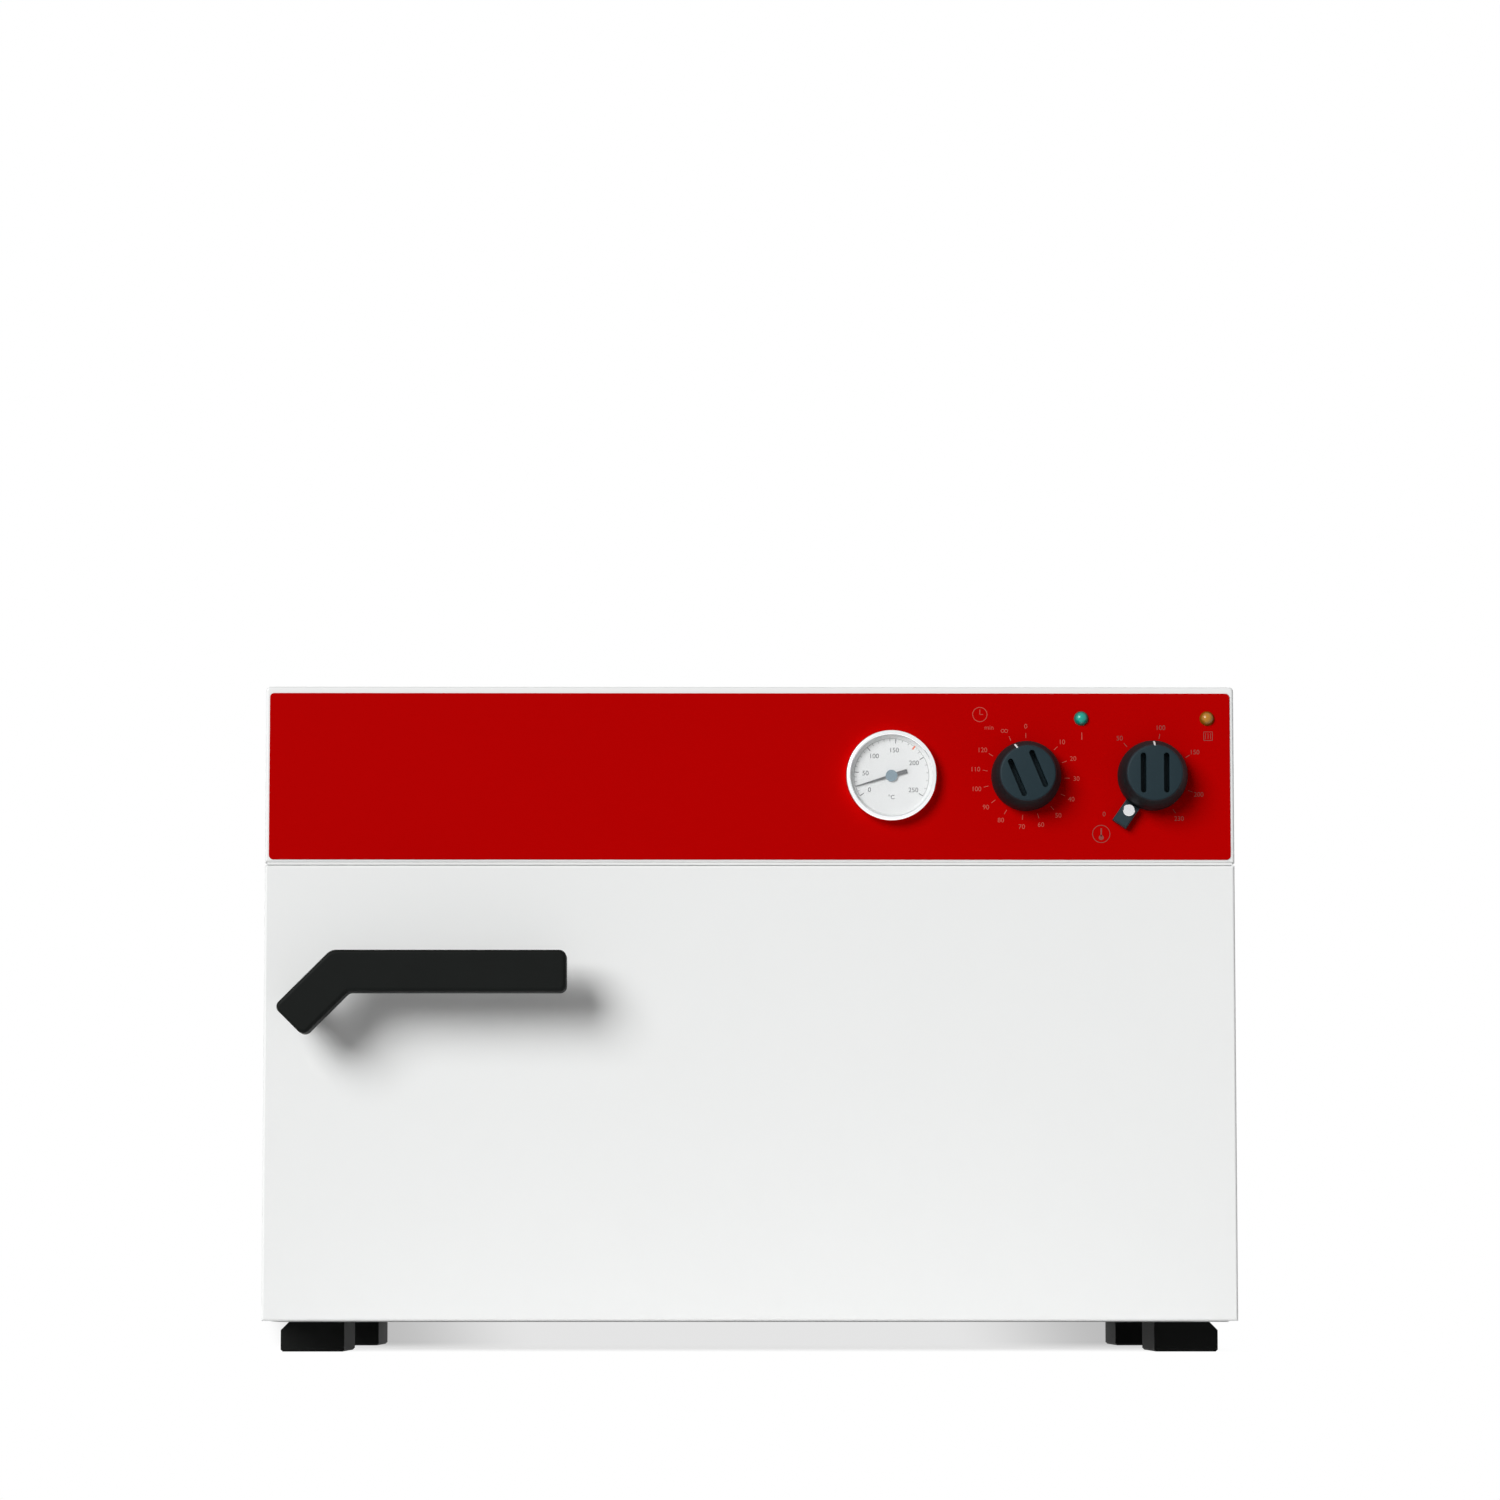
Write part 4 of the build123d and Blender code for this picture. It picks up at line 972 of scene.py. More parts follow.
@dataclass
class Print:
    """Flat print on a face that looks towards -Y; all its marks become one piece."""

    y: float
    arc_points: int = 65
    marks: list[Shell] = field(default_factory=list)

    def strip(self, start: Place, end: Place, width: float) -> None:
        """Straight stroke whose corners lie half its width to each side of its ends.

        Args:
            start: X and Z of one end.
            end: X and Z of the other end.
            width: Width of the stroke.
        """
        ends = np.array([start, end])
        along = ends[1] - ends[0]
        side = np.array([-along[1], along[0]]) / np.hypot(*along) * width / 2
        corners = np.array([ends[0] + side, ends[0] - side, ends[1] - side, ends[1] + side])
        self.marks.append(Shell(upright(corners, self.y), [[0, 1, 2, 3]]).towards_front())

    def strokes(self, centre: Place, ends: list[tuple[float, ...]], width: float) -> None:
        """Straight strokes of a symbol.

        Args:
            centre: X and Z of the symbol's centre.
            ends: Both ends of each stroke, in millimetres from the centre.
            width: Width of the strokes.
        """
        x, z = centre
        for x1, z1, x2, z2 in ends:
            self.strip((x + x1 * MM, z + z1 * MM), (x + x2 * MM, z + z2 * MM), width)

    def tick(self, centre: Place, reach: Pair, angle: float, width: float) -> None:
        """Radial stroke of a dial between two radii."""
        inner, outer = reach
        self.strip(on_dial(*centre, inner, angle), on_dial(*centre, outer, angle), width)

    def ring(self, centre: Place, radius: float, width: float, span: Pair = (0.0, 360.0)) -> None:
        """Part of a circle, a band of two arcs half its width inside and outside its radius.

        Args:
            centre: X and Z of the circle's centre.
            radius: Radius of the band's middle.
            width: Width of the band.
            span: Angles in degrees at which the band starts and ends.
        """
        turn = np.radians(np.linspace(*span, self.arc_points))[None, :]
        radii = np.array([radius - width / 2, radius + width / 2])[:, None]
        x, z = centre[0] + radii * np.sin(turn), centre[1] + radii * np.cos(turn)
        self.marks.append(quilt(np.stack([x, np.full(x.shape, self.y), z], -1)).towards_front())

    def text(self, words: str, centre: Place, height: float) -> None:
        """Upright words centred on a point.

        Args:
            words: Characters to print.
            centre: X and Z of the words' centre.
            height: Size of the font.
        """
        curve = bpy.data.curves.new("words", "FONT")
        curve.body = words
        curve.size = height
        curve.align_x = "CENTER"
        curve.align_y = "CENTER"
        made = add("words", curve)
        shell = read_back(made)
        bpy.data.objects.remove(made)
        flat = shell.points[:, :2]
        flat = flat - (flat.min(0) + flat.max(0)) / 2 + centre
        self.marks.append(Shell(upright(flat, self.y), shell.faces).towards_front())

    def piece(self, name: str, ink: Ink, slot: str) -> None:
        """Joins all marks into one piece of the housing."""
        sum(self.marks[1:], self.marks[0]).piece(name, ink, Body.HOUSING, slot)


# Sub-assemblies

@dataclass
class CadDress:
    """Finishes of the CAD nodes that keep their own shape."""

    finishes: dict[Finish, tuple[str, ...]] = field(default_factory=lambda: {
        ENAMEL: ("outer_casing", "rear_panel", "control_fascia", "door_skin"),
        FRAME_ENAMEL: ("front_frame", "base_plate"),
        FOIL: ("panel_foil",),
        STAINLESS: ("inner_chamber", "door_inner_panel", "damper_flap"),
        STAINLESS_DEEP: ("floor_deflector", "rack_rail_left", "rack_rail_right", "exhaust_duct",
                         "thermometer_case"),
        ZINC: ("foot_screws", "rear_screws", "door_panel_screws", "hinge_arm_lower",
               "hinge_plate_upper", "hinge_pins", "latch_keeper", "latch_cam", "latch_nut",
               "handle_spindle", "timer_shaft", "thermostat_shaft", "timer_mechanism",
               "thermostat_body"),
        NICKEL: ("limit_stop_screw",),
        HEATER: ("heater_element",),
        FOOT_BLACK: ("feet",),
        BLACK: ("damper_knob", "mains_inlet", "lamp_holders"),
        KNOB: ("limit_stop",),
        NATURAL: ("hinge_bushes", "spindle_bush", "keeper_pad"),
        TERMINAL: ("terminal_block",),
        SILICONE: ("door_gasket",),
        WOOL: ("chamber_insulation", "door_insulation"),
        GLASS: ("thermometer_lens",),
        BRASS: ("thermometer_movement", "thermometer_sensor", "thermostat_sensor", "inlet_pins"),
    })

    def build(self) -> None:
        """Gives each CAD node its finish; the pointer's needs the place of the gauge."""
        gauge = Round.of("thermometer_bezel")
        pointer = PointerPaint("pointer_paint", (gauge.x, 0.0, gauge.z))
        for finish, nodes in {**self.finishes, pointer: ("thermometer_pointer",)}.items():
            for name in nodes:
                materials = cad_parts[name].data.materials
                materials.clear()
                materials.append(finish.material())


@dataclass
class Lever:
    """Black cranked handle with soft edges, on a boss that flares into it.

    The arm rises from the grip's place at 45 degrees and bends into the level bar. The boss lies
    on the joint's axis; the grip lies a little beside it, where the photograph shows the arm.
    """

    pivot: Place = (-267.0 * MM, 206.5 * MM)
    grip: Place = (-262.4 * MM, 203.4 * MM)
    arm: float = 29.6 * MM
    tail: float = 12.5 * MM
    bar: float = 133.3 * MM
    width: float = 24.8 * MM
    thickness: float = 18.0 * MM
    corner: float = 4.2 * MM
    bend: Pair = (7.98 * MM, 4.2 * MM)
    least: float = 0.2 * MM
    edge: float = 2.2 * MM
    back_edge: float = 1.4 * MM
    boss: float = 7.0 * MM
    boss_edge: float = 0.4 * MM
    root: float = 2.0 * MM
    flare: float = 0.8 * MM
    rosette: float = 9.5 * MM
    rosette_edge: float = 1.2 * MM
    bore: float = 5.3 * MM
    corner_steps: int = 8
    edge_steps: int = 7
    flare_steps: int = 6
    sides: int = 64

    def outline(self, inset: float) -> np.ndarray:
        """Outline of tail, arm and level bar, moved inwards.

        The arm runs at 45 degrees, so the bend's corners lie on the bisector, at half the width
        divided by the cosine of 22.5 degrees.

        Args:
            inset: Distance inwards.

        Returns:
            Rows of X and Z.
        """
        half = self.width / 2 - inset
        along, across = np.array([[1.0, 1.0], [-1.0, 1.0]]) / math.sqrt(2)
        up = np.array([0.0, 1.0])
        grip = np.array(self.grip)
        tail = grip - along * (self.tail - inset)
        bend = grip + along * self.arm
        end = bend + np.array([self.bar - inset, 0.0])
        mitre = (across + up) * half / (1 + across @ up)
        places = [tail + across * half, bend + mitre, end + up * half, end - up * half,
                  bend - mitre, tail - across * half]
        small, (outer, inner) = self.corner - inset, self.bend
        radii = [max(radius, self.least) for radius in (small, outer, small, small, inner, small)]
        corners = [(*place, radius) for place, radius in zip(places, radii)]
        return rounded(corners, self.corner_steps, closed=True)

    def build(self) -> None:
        """Carries the outline from back to front, drawn in along a quarter circle at each edge."""
        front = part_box("door_handle")[0].y
        back = front + self.thickness
        curve = quarter(self.edge_steps)
        layers = np.vstack([(0.0, back) + self.back_edge * curve * (1, -1),
                            (0.0, front) + self.edge * curve[:, ::-1]])
        lever = lofted(np.stack([upright(self.outline(inset), y) for inset, y in layers]))
        whole = lever + self.boss_shell(back)
        whole.piece("lever_moulding", BLACK, Body.HANDLE, "black_plastic", ("door_handle",))
        plate = self.rosette_shell()
        plate.piece("lever_rosette", BLACK, Body.DOOR, "black_plastic", ("handle_rosette",))

    def rosette_shell(self) -> Shell:
        """Round plate on the door, small enough that the lever hides it as in the photograph.

        Returns:
            The plate.
        """
        plate = Round.of("handle_rosette")
        profile = [(self.bore, plate.back), (self.rosette, plate.back),
                   (self.rosette, plate.front + self.rosette_edge),
                   (self.rosette - self.rosette_edge, plate.front), (self.bore, plate.front)]
        return turned(np.array(profile), *self.pivot, self.sides, hollow=True)

    def boss_shell(self, back: float) -> Shell:
        """Boss behind the lever: a cylinder that opens in a quarter circle towards the lever.

        Args:
            back: Y of the lever's back.

        Returns:
            The boss.
        """
        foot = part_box("door_handle")[1].y
        curve = (self.boss, back) + self.flare * quarter(self.flare_steps)
        profile = [(self.boss + self.flare, back - self.root), *curve,
                   (self.boss, foot - self.boss_edge), (self.boss - self.boss_edge, foot)]
        return turned(np.array(profile), *self.pivot, self.sides)


@dataclass
class FasciaLip:
    """Folded lower edge of the fascia, which closes the gap above the door."""

    depth: float = 8.0 * MM
    recess: float = 0.02 * MM
    overlap: float = 0.05 * MM
    clearance: float = 0.12 * MM
    side_gap: float = 1.5 * MM
    radius: float = 0.3 * MM

    def build(self) -> None:
        """Strip along X whose lower front edge is round; it stays clear of the door's top."""
        low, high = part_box("control_fascia")
        top, bottom = low.z + self.overlap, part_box("door_skin")[1].z + self.clearance
        front = low.y + self.recess
        back = front + self.depth
        section = rounded([(front, top, 0.0), (front, bottom, self.radius), (back, bottom, 0.0),
                           (back, top, 0.0)], closed=True)
        ends = [np.column_stack([np.full(len(section), x), section])
                for x in (low.x + self.side_gap, high.x - self.side_gap)]
        lofted(np.stack(ends)).piece("fascia_lip", ENAMEL, Body.HOUSING, "housing_enamel")


@dataclass
class GripKnob:
    """Domed knob with a finger bar between two deep grooves and a white mark."""

    node: str
    body: Body
    angle: float
    radius: float = 20.9 * MM
    face: float = 15.6 * MM
    skirt: float = 2.6 * MM
    bulge: float = 2.2
    edge: float = 1.2 * MM
    rim: float = 0.3 * MM
    bar: float = 10.4 * MM
    groove: float = 3.4 * MM
    length: float = 24.0 * MM
    depth: float = 9.0 * MM
    overcut: float = 2.0 * MM
    mark_reach: Pair = (16.3 * MM, 19.8 * MM)
    mark_width: float = 1.0 * MM
    mark_lift: float = 0.04 * MM
    side_steps: int = 14
    edge_steps: int = 6
    groove_steps: int = 13
    sides: int = 128
    crease: float = 28.0

    def build(self) -> None:
        """Turns the domed body, cuts the grooves and prints the mark.

        The middle of the node's box is rounded, to a tenth and a hundredth of a millimetre, to the
        place that the knob is designed for.
        """
        box = Round.of(self.node)
        axis = replace(box, x=round(box.x, 4), z=round(box.z, 5))
        profile = [(POLE, axis.back), (self.radius - self.rim, axis.back),
                   (self.radius, axis.back - self.rim), *self.side(axis), (POLE, axis.front)]
        body = turned(np.array(profile), axis.x, axis.z, self.sides)
        knob = cut(body, [self.groove_cut(side, axis) for side in (-1, 1)])
        plastic = KnobWithPaintedShade(f"{self.node}_plastic", (axis.x, 0.0, axis.z))
        knob.piece(f"{self.node}_moulding", plastic, self.body, "knob_plastic", (self.node,),
                   self.crease)
        self.mark(axis).piece(f"{self.node}_mark", INK_WHITE, self.body, "knob_plastic")

    def spun(self, axis: Round, across: np.ndarray, along: np.ndarray) -> np.ndarray:
        """Places on the knob, turned by its angle.

        Args:
            axis: Place of the knob.
            across: Distances to the right of the axis.
            along: Distances above the axis.

        Returns:
            Rows of X and Z.
        """
        cos, sin = math.cos(math.radians(self.angle)), math.sin(math.radians(self.angle))
        return np.column_stack([axis.x + across * cos + along * sin,
                                axis.z - across * sin + along * cos])

    def mark(self, axis: Round) -> Shell:
        """Mark that runs down the side, a narrow band over the profile between two radii.

        Args:
            axis: Place of the knob.

        Returns:
            The band, lifted off the side and seen from outside.
        """
        side = self.side(axis)
        inner, outer = self.mark_reach
        run = side[(side[:, 0] >= inner) & (side[:, 0] <= outer)]
        radius, depth = run[:, 0] + self.mark_lift, run[:, 1] - self.mark_lift
        edges = [self.spun(axis, np.full(len(run), half), radius)
                 for half in (-self.mark_width / 2, self.mark_width / 2)]
        return quilt(np.stack([np.insert(edge, 1, depth, 1) for edge in edges])).towards_front()

    def side(self, axis: Round) -> np.ndarray:
        """Profile of the side, from the skirt to the face.

        The radius falls with a power of the share of the height, down to the face's edge, where a
        small quarter circle leads into the flat face.

        Args:
            axis: Place of the knob, with the Y of its face and of its rear rim.

        Returns:
            Rows of radius and Y.
        """
        skirt = axis.back - self.skirt
        rise, drop = skirt - axis.front - self.edge, self.radius - self.face - self.edge
        share = np.linspace(0, 1, self.side_steps)
        dome = np.column_stack([self.radius - drop * share ** self.bulge, skirt - rise * share])
        curve = quarter(self.edge_steps)[1:, ::-1] * (-1, 1)
        return np.vstack([dome, (self.face + self.edge, axis.front) + self.edge * curve])

    def groove_cut(self, side: int, axis: Round) -> Shell:
        """Stadium-shaped cutter of one groove, turned by the knob's angle.

        Args:
            side: -1 for the left groove, 1 for the right.
            axis: Place of the knob.

        Returns:
            The cutter.
        """
        middle = side * (self.bar + self.groove) / 2
        radius = self.groove / 2
        turns = np.linspace(0, math.pi, self.groove_steps)
        across = middle + radius * np.cos(turns)
        along = self.length / 2 - radius + radius * np.sin(turns)
        outline = self.spun(axis, np.append(across, 2 * middle - across), np.append(along, -along))
        ends = (axis.front - self.overcut, axis.front + self.depth)
        return lofted(np.stack([upright(outline, y) for y in ends]))


@dataclass
class Gauge:
    """Dial thermometer: rounded bezel, the dial with its rising edge and the dial's print."""

    labels: tuple[tuple[str, float], ...] = (
        ("0", -122.4), ("50", -84.0), ("100", -40.2), ("150", 7.1), ("200", 60.0), ("250", 123.0))
    label_radius: float = 15.6 * MM
    label_height: float = 4.0 * MM
    major: Pair = (19.6 * MM, 22.2 * MM)
    minor: Pair = (20.9 * MM, 22.2 * MM)
    strokes: Pair = (0.45 * MM, 0.22 * MM)
    steps: int = 5
    arc: Pair = (22.4 * MM, 0.16 * MM)
    unit_drop: float = 12.7 * MM
    unit_height: float = 3.6 * MM
    warning: Pair = (20.2 * MM, 22.8 * MM)
    warning_angle: float = 38.5
    warning_width: float = 0.9 * MM
    print_lift: float = 0.03 * MM
    flag_lift: float = 0.01 * MM
    pointer_gap: float = 1.25 * MM
    dial_bore: float = 2.0 * MM
    cone: float = 1.3 * MM
    cone_rim: float = 1.0 * MM
    cone_end: float = 0.8 * MM
    glass_gap: float = 0.1 * MM
    dial_step: float = 0.5 * MM
    bezel_wall: float = 0.9 * MM
    bezel_width: float = 3.0 * MM
    shoulder: float = 2.2 * MM
    shoulder_steps: int = 10
    bezel_edge: float = 0.3 * MM
    sides: int = 128

    def build(self) -> None:
        """Makes bezel and dial and prints the scale and the limit's tick."""
        axis = Round.of("thermometer_bezel")
        centre = (axis.x, axis.z)
        self.bezel(axis)
        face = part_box("thermometer_pointer")[0].y + self.pointer_gap
        self.dial(axis, face)
        scale = Print(face - self.print_lift)
        for words, angle in self.labels:
            scale.tick(centre, self.major, angle, self.strokes[0])
            scale.text(words, on_dial(*centre, self.label_radius, angle), self.label_height)
        for (_, first), (_, second) in zip(self.labels, self.labels[1:]):
            for step in range(1, self.steps):
                angle = first + (second - first) * step / self.steps
                scale.tick(centre, self.minor, angle, self.strokes[1])
        scale.text("°C", (axis.x, axis.z - self.unit_drop), self.unit_height)
        scale.ring(centre, *self.arc, (self.labels[0][1], self.labels[-1][1]))
        scale.piece("dial_scale", INK_BLACK, "dial_white")
        flag = Print(scale.y - self.flag_lift)
        flag.tick(centre, self.warning, self.warning_angle, self.warning_width)
        flag.piece("dial_limit_tick", INK_ORANGE, "dial_white")

    def dial(self, axis: Round, face: float) -> None:
        """Dial brought close behind the pointer, with a cone that rises from its edge to the glass.

        Args:
            axis: Place of the gauge.
            face: Y of the dial's face.
        """
        plate = Round.of("thermometer_dial")
        rim = plate.radius + self.cone_rim
        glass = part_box("thermometer_lens")[1].y + self.glass_gap
        profile = [(self.dial_bore, face), (plate.radius - self.cone, face),
                   (plate.radius + self.cone_end, glass), (rim, glass), (rim, face),
                   (plate.radius, face + self.dial_step), (plate.radius, plate.back),
                   (self.dial_bore, plate.back)]
        disc = turned(np.array(profile), axis.x, axis.z, self.sides, hollow=True)
        disc.piece("gauge_dial", DIAL, Body.HOUSING, "dial_white", ("thermometer_dial",))

    def bezel(self, axis: Round) -> None:
        """Rolled ring with a rounded shoulder and a short lip over the glass.

        Args:
            axis: Place and size of the gauge's bezel.
        """
        inner, outer = axis.radius - self.bezel_width, axis.radius - self.bezel_wall
        under = axis.front + self.bezel_wall
        curve = quarter(self.shoulder_steps)[:, ::-1] * (-1, 1)
        roll = (axis.radius, axis.front) + self.shoulder * curve
        profile = [(axis.radius, axis.back), *roll, (inner + self.bezel_edge, axis.front),
                   (inner, axis.front + self.bezel_edge), (inner, under), (outer, under),
                   (outer, axis.back)]
        ring = turned(np.array(profile), axis.x, axis.z, self.sides, hollow=True)
        ring.piece("gauge_bezel", CHROME, Body.HOUSING, "bezel_chrome", ("thermometer_bezel",))


@dataclass
class PilotLamps:
    """Two domed lamp lenses, each on a stem that goes through the foil.

    The stem is a share of the lens's radius. The dome starts at a small turn from its top.
    """

    tints: tuple[tuple[str, Colour], ...] = (
        ("green", (0.004, 0.36, 0.28)), ("amber", (0.46, 0.19, 0.008)))
    stem: float = 0.75
    first_turn: float = 0.001
    tip: float = 0.001 * MM
    dome_steps: int = 16
    sides: int = 48

    def build(self) -> None:
        """Replaces both lamps.

        The dome is a cap of radius r and height h of a sphere with the radius (r r + h h) / 2 h.
        """
        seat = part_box("panel_foil")[0].y
        for colour, tint in self.tints:
            node = f"pilot_lamp_{colour}"
            lamp = Round.of(node)
            height = seat - lamp.front
            sphere = (lamp.radius ** 2 + height ** 2) / (2 * height)
            half = math.asin(min(1.0, lamp.radius / sphere))
            half = half if height <= sphere else math.pi - half
            turns = np.linspace(self.first_turn, half, self.dome_steps)
            cap = np.column_stack([sphere * np.sin(turns),
                                   lamp.front + sphere * (1 - np.cos(turns))])
            stem = self.stem * lamp.radius
            profile = np.vstack([cap, [(stem, seat), (stem, lamp.back), (self.tip, lamp.back)]])
            lens = LampLens(f"lamp_{colour}_lens", tint, (lamp.x, 0.0, lamp.z), lamp.radius)
            name = f"lamp_{colour}"
            dome = turned(profile, lamp.x, lamp.z, self.sides)
            dome.piece(name, lens, Body.HOUSING, name, (node,))


@dataclass
class PanelPrint:
    """Scales and symbols printed on the foil."""

    timer: Place = (165.3 * MM, 343.95 * MM)
    temperature: Place = (240.7 * MM, 343.95 * MM)
    minutes: tuple[tuple[str, float], ...] = (
        ("10", 46.5), ("20", 69.1), ("30", 92.4), ("40", 116.7), ("50", 140.5), ("60", 163.0),
        ("70", 185.0), ("80", 210.0), ("90", 232.5), ("100", 255.7), ("110", 278.3),
        ("120", 301.9), ("0", 0.0))
    degrees: tuple[tuple[str, float], ...] = (
        ("50", -39.5), ("100", 11.0), ("150", 60.5), ("200", 111.0), ("230", 147.4))
    lift: float = 0.03 * MM
    ticks: Pair = (23.2 * MM, 26.2 * MM)
    stroke: float = 0.4 * MM
    thin: float = 0.35 * MM
    letter: float = 4.0 * MM
    minute_radius: float = 30.3 * MM
    degree_radius: float = 30.0 * MM
    endless: Pair = (30.3 * MM, -25.0)
    loop: Pair = (1.05 * MM, 0.95 * MM)
    unit: Pair = (36.8 * MM, -36.7)
    unit_height: float = 3.8 * MM
    clock: Place = (137.8 * MM, 381.3 * MM)
    clock_radius: float = 4.3 * MM
    timer_lamp: Place = (198.9 * MM, 368.3 * MM)
    lamp_stroke: float = 0.5 * MM
    off: Pair = (36.5 * MM, -128.2)
    thermometer: Place = (210.2 * MM, 309.4 * MM)
    thermometer_radius: float = 5.2 * MM
    column: float = 0.9 * MM
    bulb_drop: float = 2.2 * MM
    bulb: float = 0.75 * MM
    heat: Place = (274.6 * MM, 368.3 * MM)

    def build(self) -> None:
        """Prints the timer's and the thermostat's scales."""
        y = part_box("panel_foil")[0].y - self.lift
        self.timer_scale(Print(y))
        self.temperature_scale(Print(y))

    def timer_scale(self, ink: Print) -> None:
        """Minutes around the timer knob, the mark for continuous running and a clock symbol.

        Args:
            ink: Empty print on the foil.
        """
        for words, angle in self.minutes:
            ink.tick(self.timer, self.ticks, angle, self.stroke)
            ink.text(words, on_dial(*self.timer, self.minute_radius, angle), self.letter)
        ink.tick(self.timer, self.ticks, CONTINUOUS, self.stroke)
        x, z = on_dial(*self.timer, *self.endless)
        beside, radius = self.loop
        for middle in (x - beside, x + beside):
            ink.ring((middle, z), radius, self.thin)
        ink.text("min", on_dial(*self.timer, *self.unit), self.unit_height)
        ink.ring(self.clock, self.clock_radius, self.stroke)
        ink.strokes(self.clock, [(0, 0, 0, 3.0), (0, 0, 1.9, 0)], self.stroke)
        ink.strokes(self.timer_lamp, [(0, -2.2, 0, 2.2)], self.lamp_stroke)
        ink.piece("timer_print", INK_TIMER, "foil_red")

    def temperature_scale(self, ink: Print) -> None:
        """Degrees around the temperature knob, its off mark and the two symbols.

        Args:
            ink: Empty print on the foil.
        """
        for words, angle in self.degrees:
            ink.tick(self.temperature, self.ticks, angle, self.stroke)
            ink.text(words, on_dial(*self.temperature, self.degree_radius, angle), self.letter)
        ink.text("0", on_dial(*self.temperature, *self.off), self.letter)
        x, z = self.thermometer
        ink.ring((x, z), self.thermometer_radius, self.stroke)
        ink.strokes((x, z), [(0, -1.4, 0, 3.4)], self.column)
        ink.ring((x, z - self.bulb_drop), self.bulb, 2 * self.bulb)
        ink.strokes(self.heat, [(side, -1.8, side, 1.8) for side in (-1.5, 0, 1.5)], self.thin)
        for edge in (-2.6, 2.6):
            box = [(-2.6, edge, 2.6, edge), (edge, -2.6, edge, 2.6)]
            ink.strokes(self.heat, box, self.thin)
        ink.piece("temperature_print", INK_TEMPERATURE, "foil_red")


@dataclass
class WireRacks:
    """Two racks of round welded wire in place of the CAD ones."""

    frame_wire: float = 2.5 * MM
    cross_wire: float = 1.6 * MM
    count: int = 25
    corner: float = 14.0 * MM
    corner_steps: int = 8
    frame_sides: int = 16
    bar_sides: int = 14
    cross_sides: int = 10

    def build(self) -> None:
        """Builds both racks."""
        for name in ("rack_lower", "rack_upper"):
            self.rack(name)

    def rack(self, name: str) -> None:
        """Round-cornered frame, a bar across it and wires along Y on top, which end on the frame.

        Args:
            name: CAD node that the rack stands for.
        """
        low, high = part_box(name)
        level = low.z + self.frame_wire
        left, right = low.x + self.frame_wire, high.x - self.frame_wire
        front, back = low.y + self.frame_wire, high.y - self.frame_wire
        middle, top = (front + back) / 2, high.z - self.cross_wire
        corners = [(left, front), (right, front), (right, back), (left, back)]
        loop = rounded([(*place, self.corner) for place in corners], self.corner_steps, closed=True)
        rack = tube(np.insert(loop, 2, level, 1), self.frame_wire, self.frame_sides, closed=True)
        bar = np.array([[left, middle, level], [right, middle, level]])
        rack = rack + tube(bar, self.frame_wire, self.bar_sides)
        for x in np.linspace(left + self.corner, right - self.corner, self.count):
            wire = np.array([[x, front, top], [x, back, top]])
            rack = rack + tube(wire, self.cross_wire, self.cross_sides)
        rack.piece(f"{name}_wires", WIRE, Body.HOUSING, "rack_wire", (name,))


# Stage

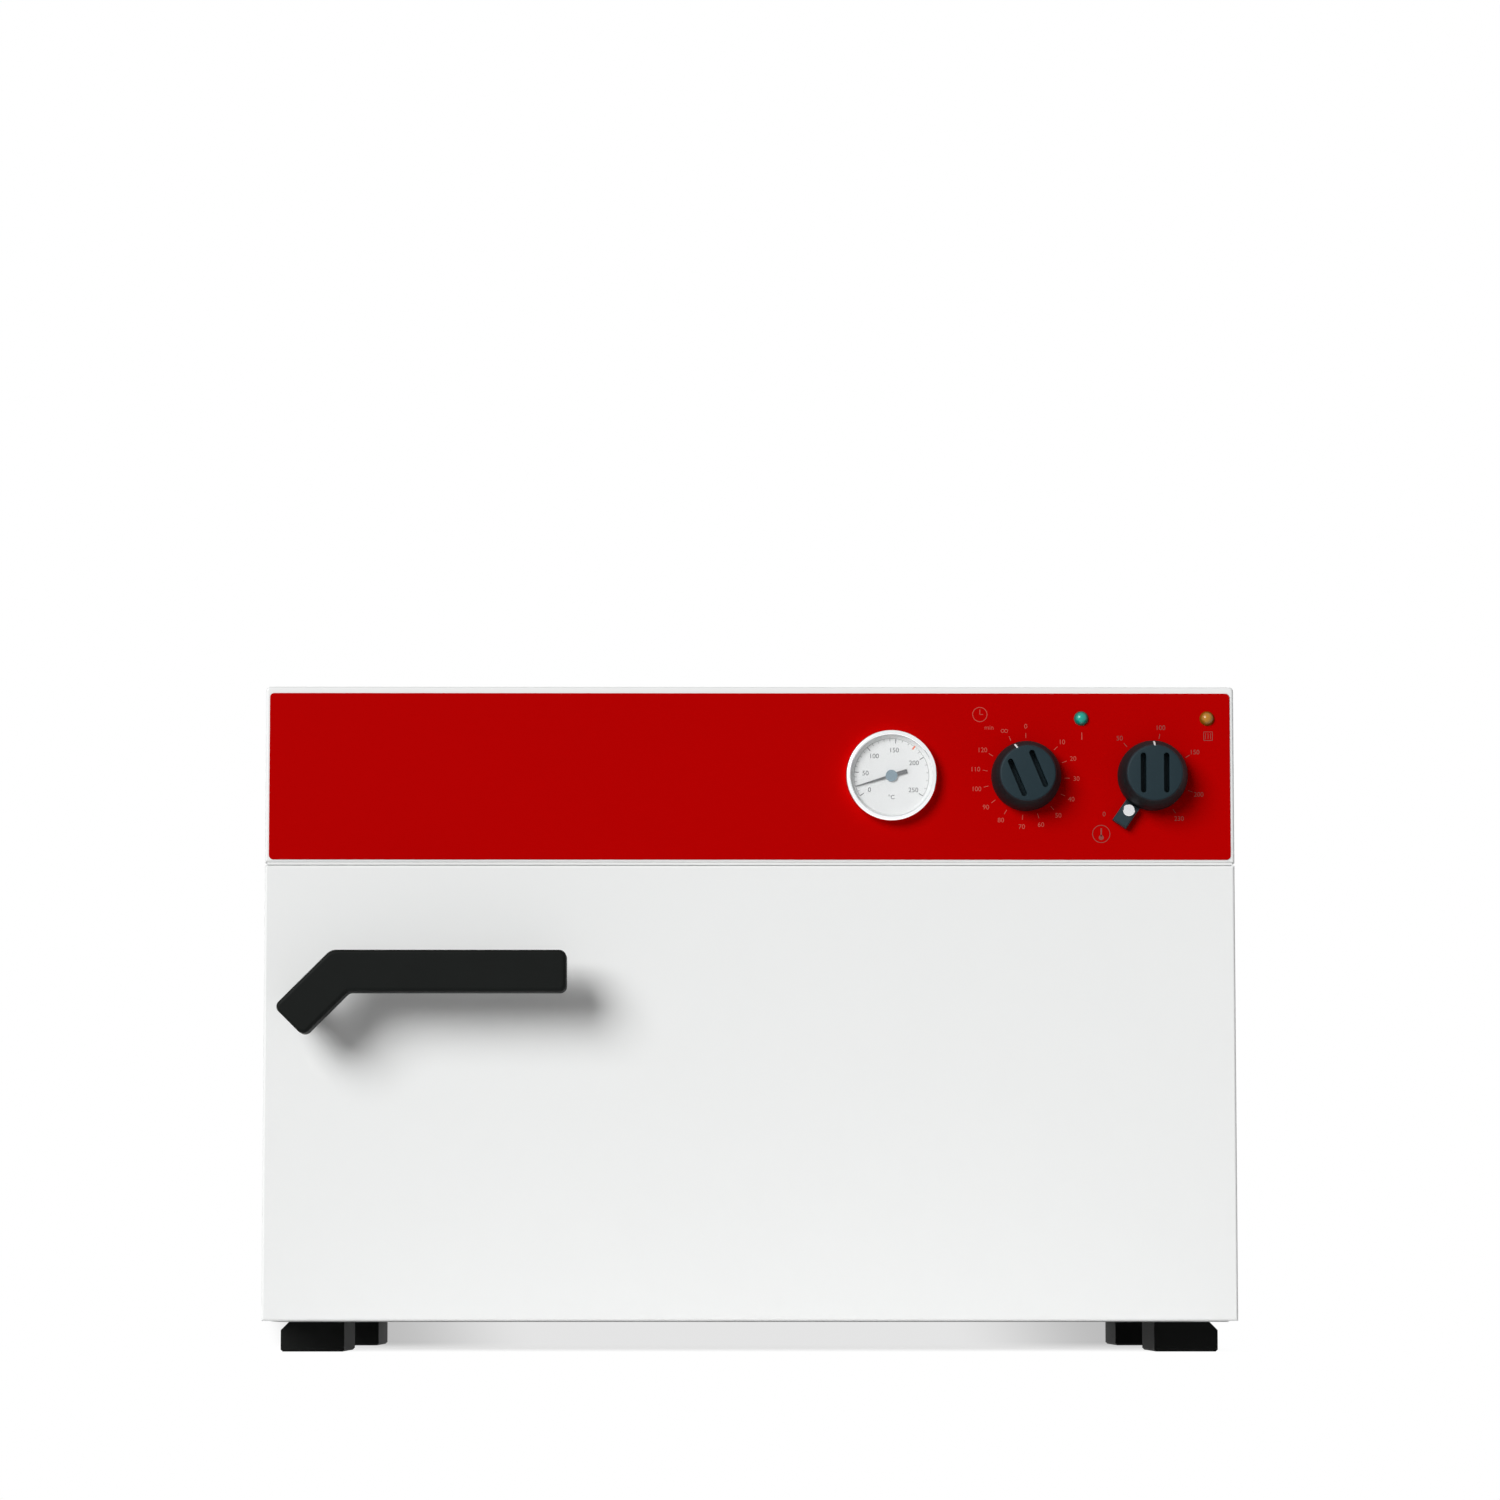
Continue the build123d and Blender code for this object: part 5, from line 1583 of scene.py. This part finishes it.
@dataclass
class Studio:
    """White floor and background, a soft key and the camera of the photograph.

    A pair on the floor holds the distances at which a mask starts and ends. The near floor keeps
    the shadow; the painted shadow is a grey glow painted under and behind the oven, darker towards
    its sides.
    """

    picture: float = 896.0 * MM
    middle: float = 359.2 * MM
    distance: float = 2.7
    height: float = 42.0 * MM
    shift: float = 0.12
    aside: float = -15.0 * MM
    sensor: float = 36.0
    view_end: float = 200.0
    fill: float = 0.08
    floor_half: float = 40.0
    floor_white: float = 0.9
    glow: float = 0.72
    near_reach: Pair = (0.45, 0.85)
    near_side: Pair = (0.25, 0.31)
    near_ahead: Pair = (0.0, 0.21)
    # Painted shadow on the floor: its grey, its darker grey at the sides, and where it fades.
    painted_shadow: float = 0.78
    painted_shadow_edge: float = 0.5
    painted_shadow_core: Pair = (0.12, 0.22)
    painted_shadow_side: Pair = (0.25, 0.283)
    painted_shadow_start: Pair = (-0.12, 0.30)
    painted_shadow_end: Pair = (1.8, 2.8)
    front_depth: float = 213.5 * MM
    key_power: float = 2.95
    key_angle: float = 33.0
    key_run: Triple = (24.0, 35.0, -17.5)

    def build(self) -> None:
        """Sets the colour management, the floor, the world, the lamp and the camera."""
        bpy.context.scene.view_settings.view_transform = "Standard"
        half = self.floor_half
        corners = np.array([(-half, -half, 0), (half, -half, 0), (half, half, 0), (-half, half, 0)])
        plane = add("floor", Shell(corners, [[0, 1, 2, 3]]).mesh("floor"))
        plane.data.materials.append(self.floor(Recipe(bpy.data.materials.new("floor_white"))))
        bpy.context.scene.world = self.world(Recipe(bpy.data.worlds.new("studio")))
        self.key()
        self.camera()

    def floor(self, recipe: Recipe) -> bpy.types.Material:
        """White floor: diffuse with a glow near the oven, plain white farther off, and the painted
        shadow.

        The painted shadow narrows with the distance from the camera, so that the oven hides its
        sides.

        Args:
            recipe: Empty recipe.

        Returns:
            The material.
        """
        white, bright = (1.0, 1.0, 1.0), (self.floor_white,) * 3
        eye = recipe.ray("Camera")
        seen = eye + recipe.ray("Glossy")
        diffuse = recipe.node("ShaderNodeBsdfDiffuse", None, {"Color": (*bright, 1.0)})
        near = recipe.node("ShaderNodeAddShader", None,
                           {0: diffuse, 1: recipe.glow(white, self.glow * seen)})
        place = recipe.place()
        across = recipe.node("ShaderNodeSeparateXYZ", None, {0: place}, "X").size()
        behind = recipe.node("ShaderNodeSeparateXYZ", None, {0: place}, "Y")
        ahead = -1.0 * behind
        reach = recipe.length(place).fade(*self.near_reach)
        side, front = across.fade(*self.near_side), ahead.fade(*self.near_ahead)
        far = 1.0 - (1.0 - reach) * (1.0 - side) * (1.0 - front)
        narrowed = across / (1.0 + (behind + self.front_depth) / self.distance)
        # Painted shadow: a grey glow under and behind the oven, darker towards its sides.
        painted_shadow = ((1.0 - narrowed.fade(*self.painted_shadow_side)) * behind.fade(*self.painted_shadow_start)
                * (1.0 - behind.fade(*self.painted_shadow_end)))
        grey = recipe.mix(narrowed.fade(*self.painted_shadow_core), (self.painted_shadow,) * 3, (self.painted_shadow_edge,) * 3)
        plain = recipe.node("ShaderNodeMixShader", None,
                            {0: far * eye, 1: near, 2: recipe.glow(white, seen)})
        return recipe.end(recipe.node("ShaderNodeMixShader", None,
                                      {0: painted_shadow * eye, 1: plain, 2: recipe.glow(grey, seen)}))

    def world(self, recipe: Recipe) -> bpy.types.World:
        """White to the camera, to gloss and through glass; plain soft light to everything else.

        Args:
            recipe: Empty recipe.

        Returns:
            The world.
        """
        seen = recipe.ray("Camera").larger(recipe.ray("Glossy")).larger(recipe.ray("Transmission"))
        inputs = {"Color": (1.0, 1.0, 1.0, 1.0), "Strength": self.fill + (1.0 - self.fill) * seen}
        return recipe.end(recipe.node("ShaderNodeBackground", None, inputs))

    def key(self) -> None:
        """Wide sun from the upper left front, as the handle's shadow asks; it lights evenly."""
        data = bpy.data.lights.new("key", "SUN")
        data.angle = math.radians(self.key_angle)
        data.energy = self.key_power
        made = add("key", data)
        made.rotation_mode = "QUATERNION"
        made.rotation_quaternion = Vector(self.key_run).to_track_quat("-Z", "Y")

    def camera(self) -> None:
        """Low camera, tilted up slightly; the shift takes the rest of the framing."""
        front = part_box("door_skin")[0].y
        data = bpy.data.cameras.new("camera")
        made = add("camera", data)
        place = Vector((self.aside, front - self.distance, self.height))
        target = Vector((0.0, front, self.middle - self.shift * self.picture))
        made.location = place
        made.rotation_mode = "QUATERNION"
        made.rotation_quaternion = (target - place).to_track_quat("-Z", "Y")
        data.sensor_width = self.sensor
        data.lens = self.sensor * (target - place).length / self.picture
        data.shift_y = self.shift
        data.clip_end = self.view_end
        bpy.context.scene.camera = made


def main() -> None:
    """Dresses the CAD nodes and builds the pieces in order."""
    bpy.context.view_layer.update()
    timer = GripKnob("timer_knob", Body.TIMER, CONTINUOUS)
    temperature = GripKnob("temperature_knob", Body.TEMPERATURE, 0.0)
    for part in (CadDress(), Lever(), FasciaLip(), timer, temperature, Gauge(), PilotLamps(),
                 PanelPrint(), WireRacks(), Studio()):
        part.build()
        LOG.info("built %s", type(part).__name__)


if __name__ == "__main__":
    logging.basicConfig(level=logging.INFO, format="%(name)s: %(message)s")
    main()
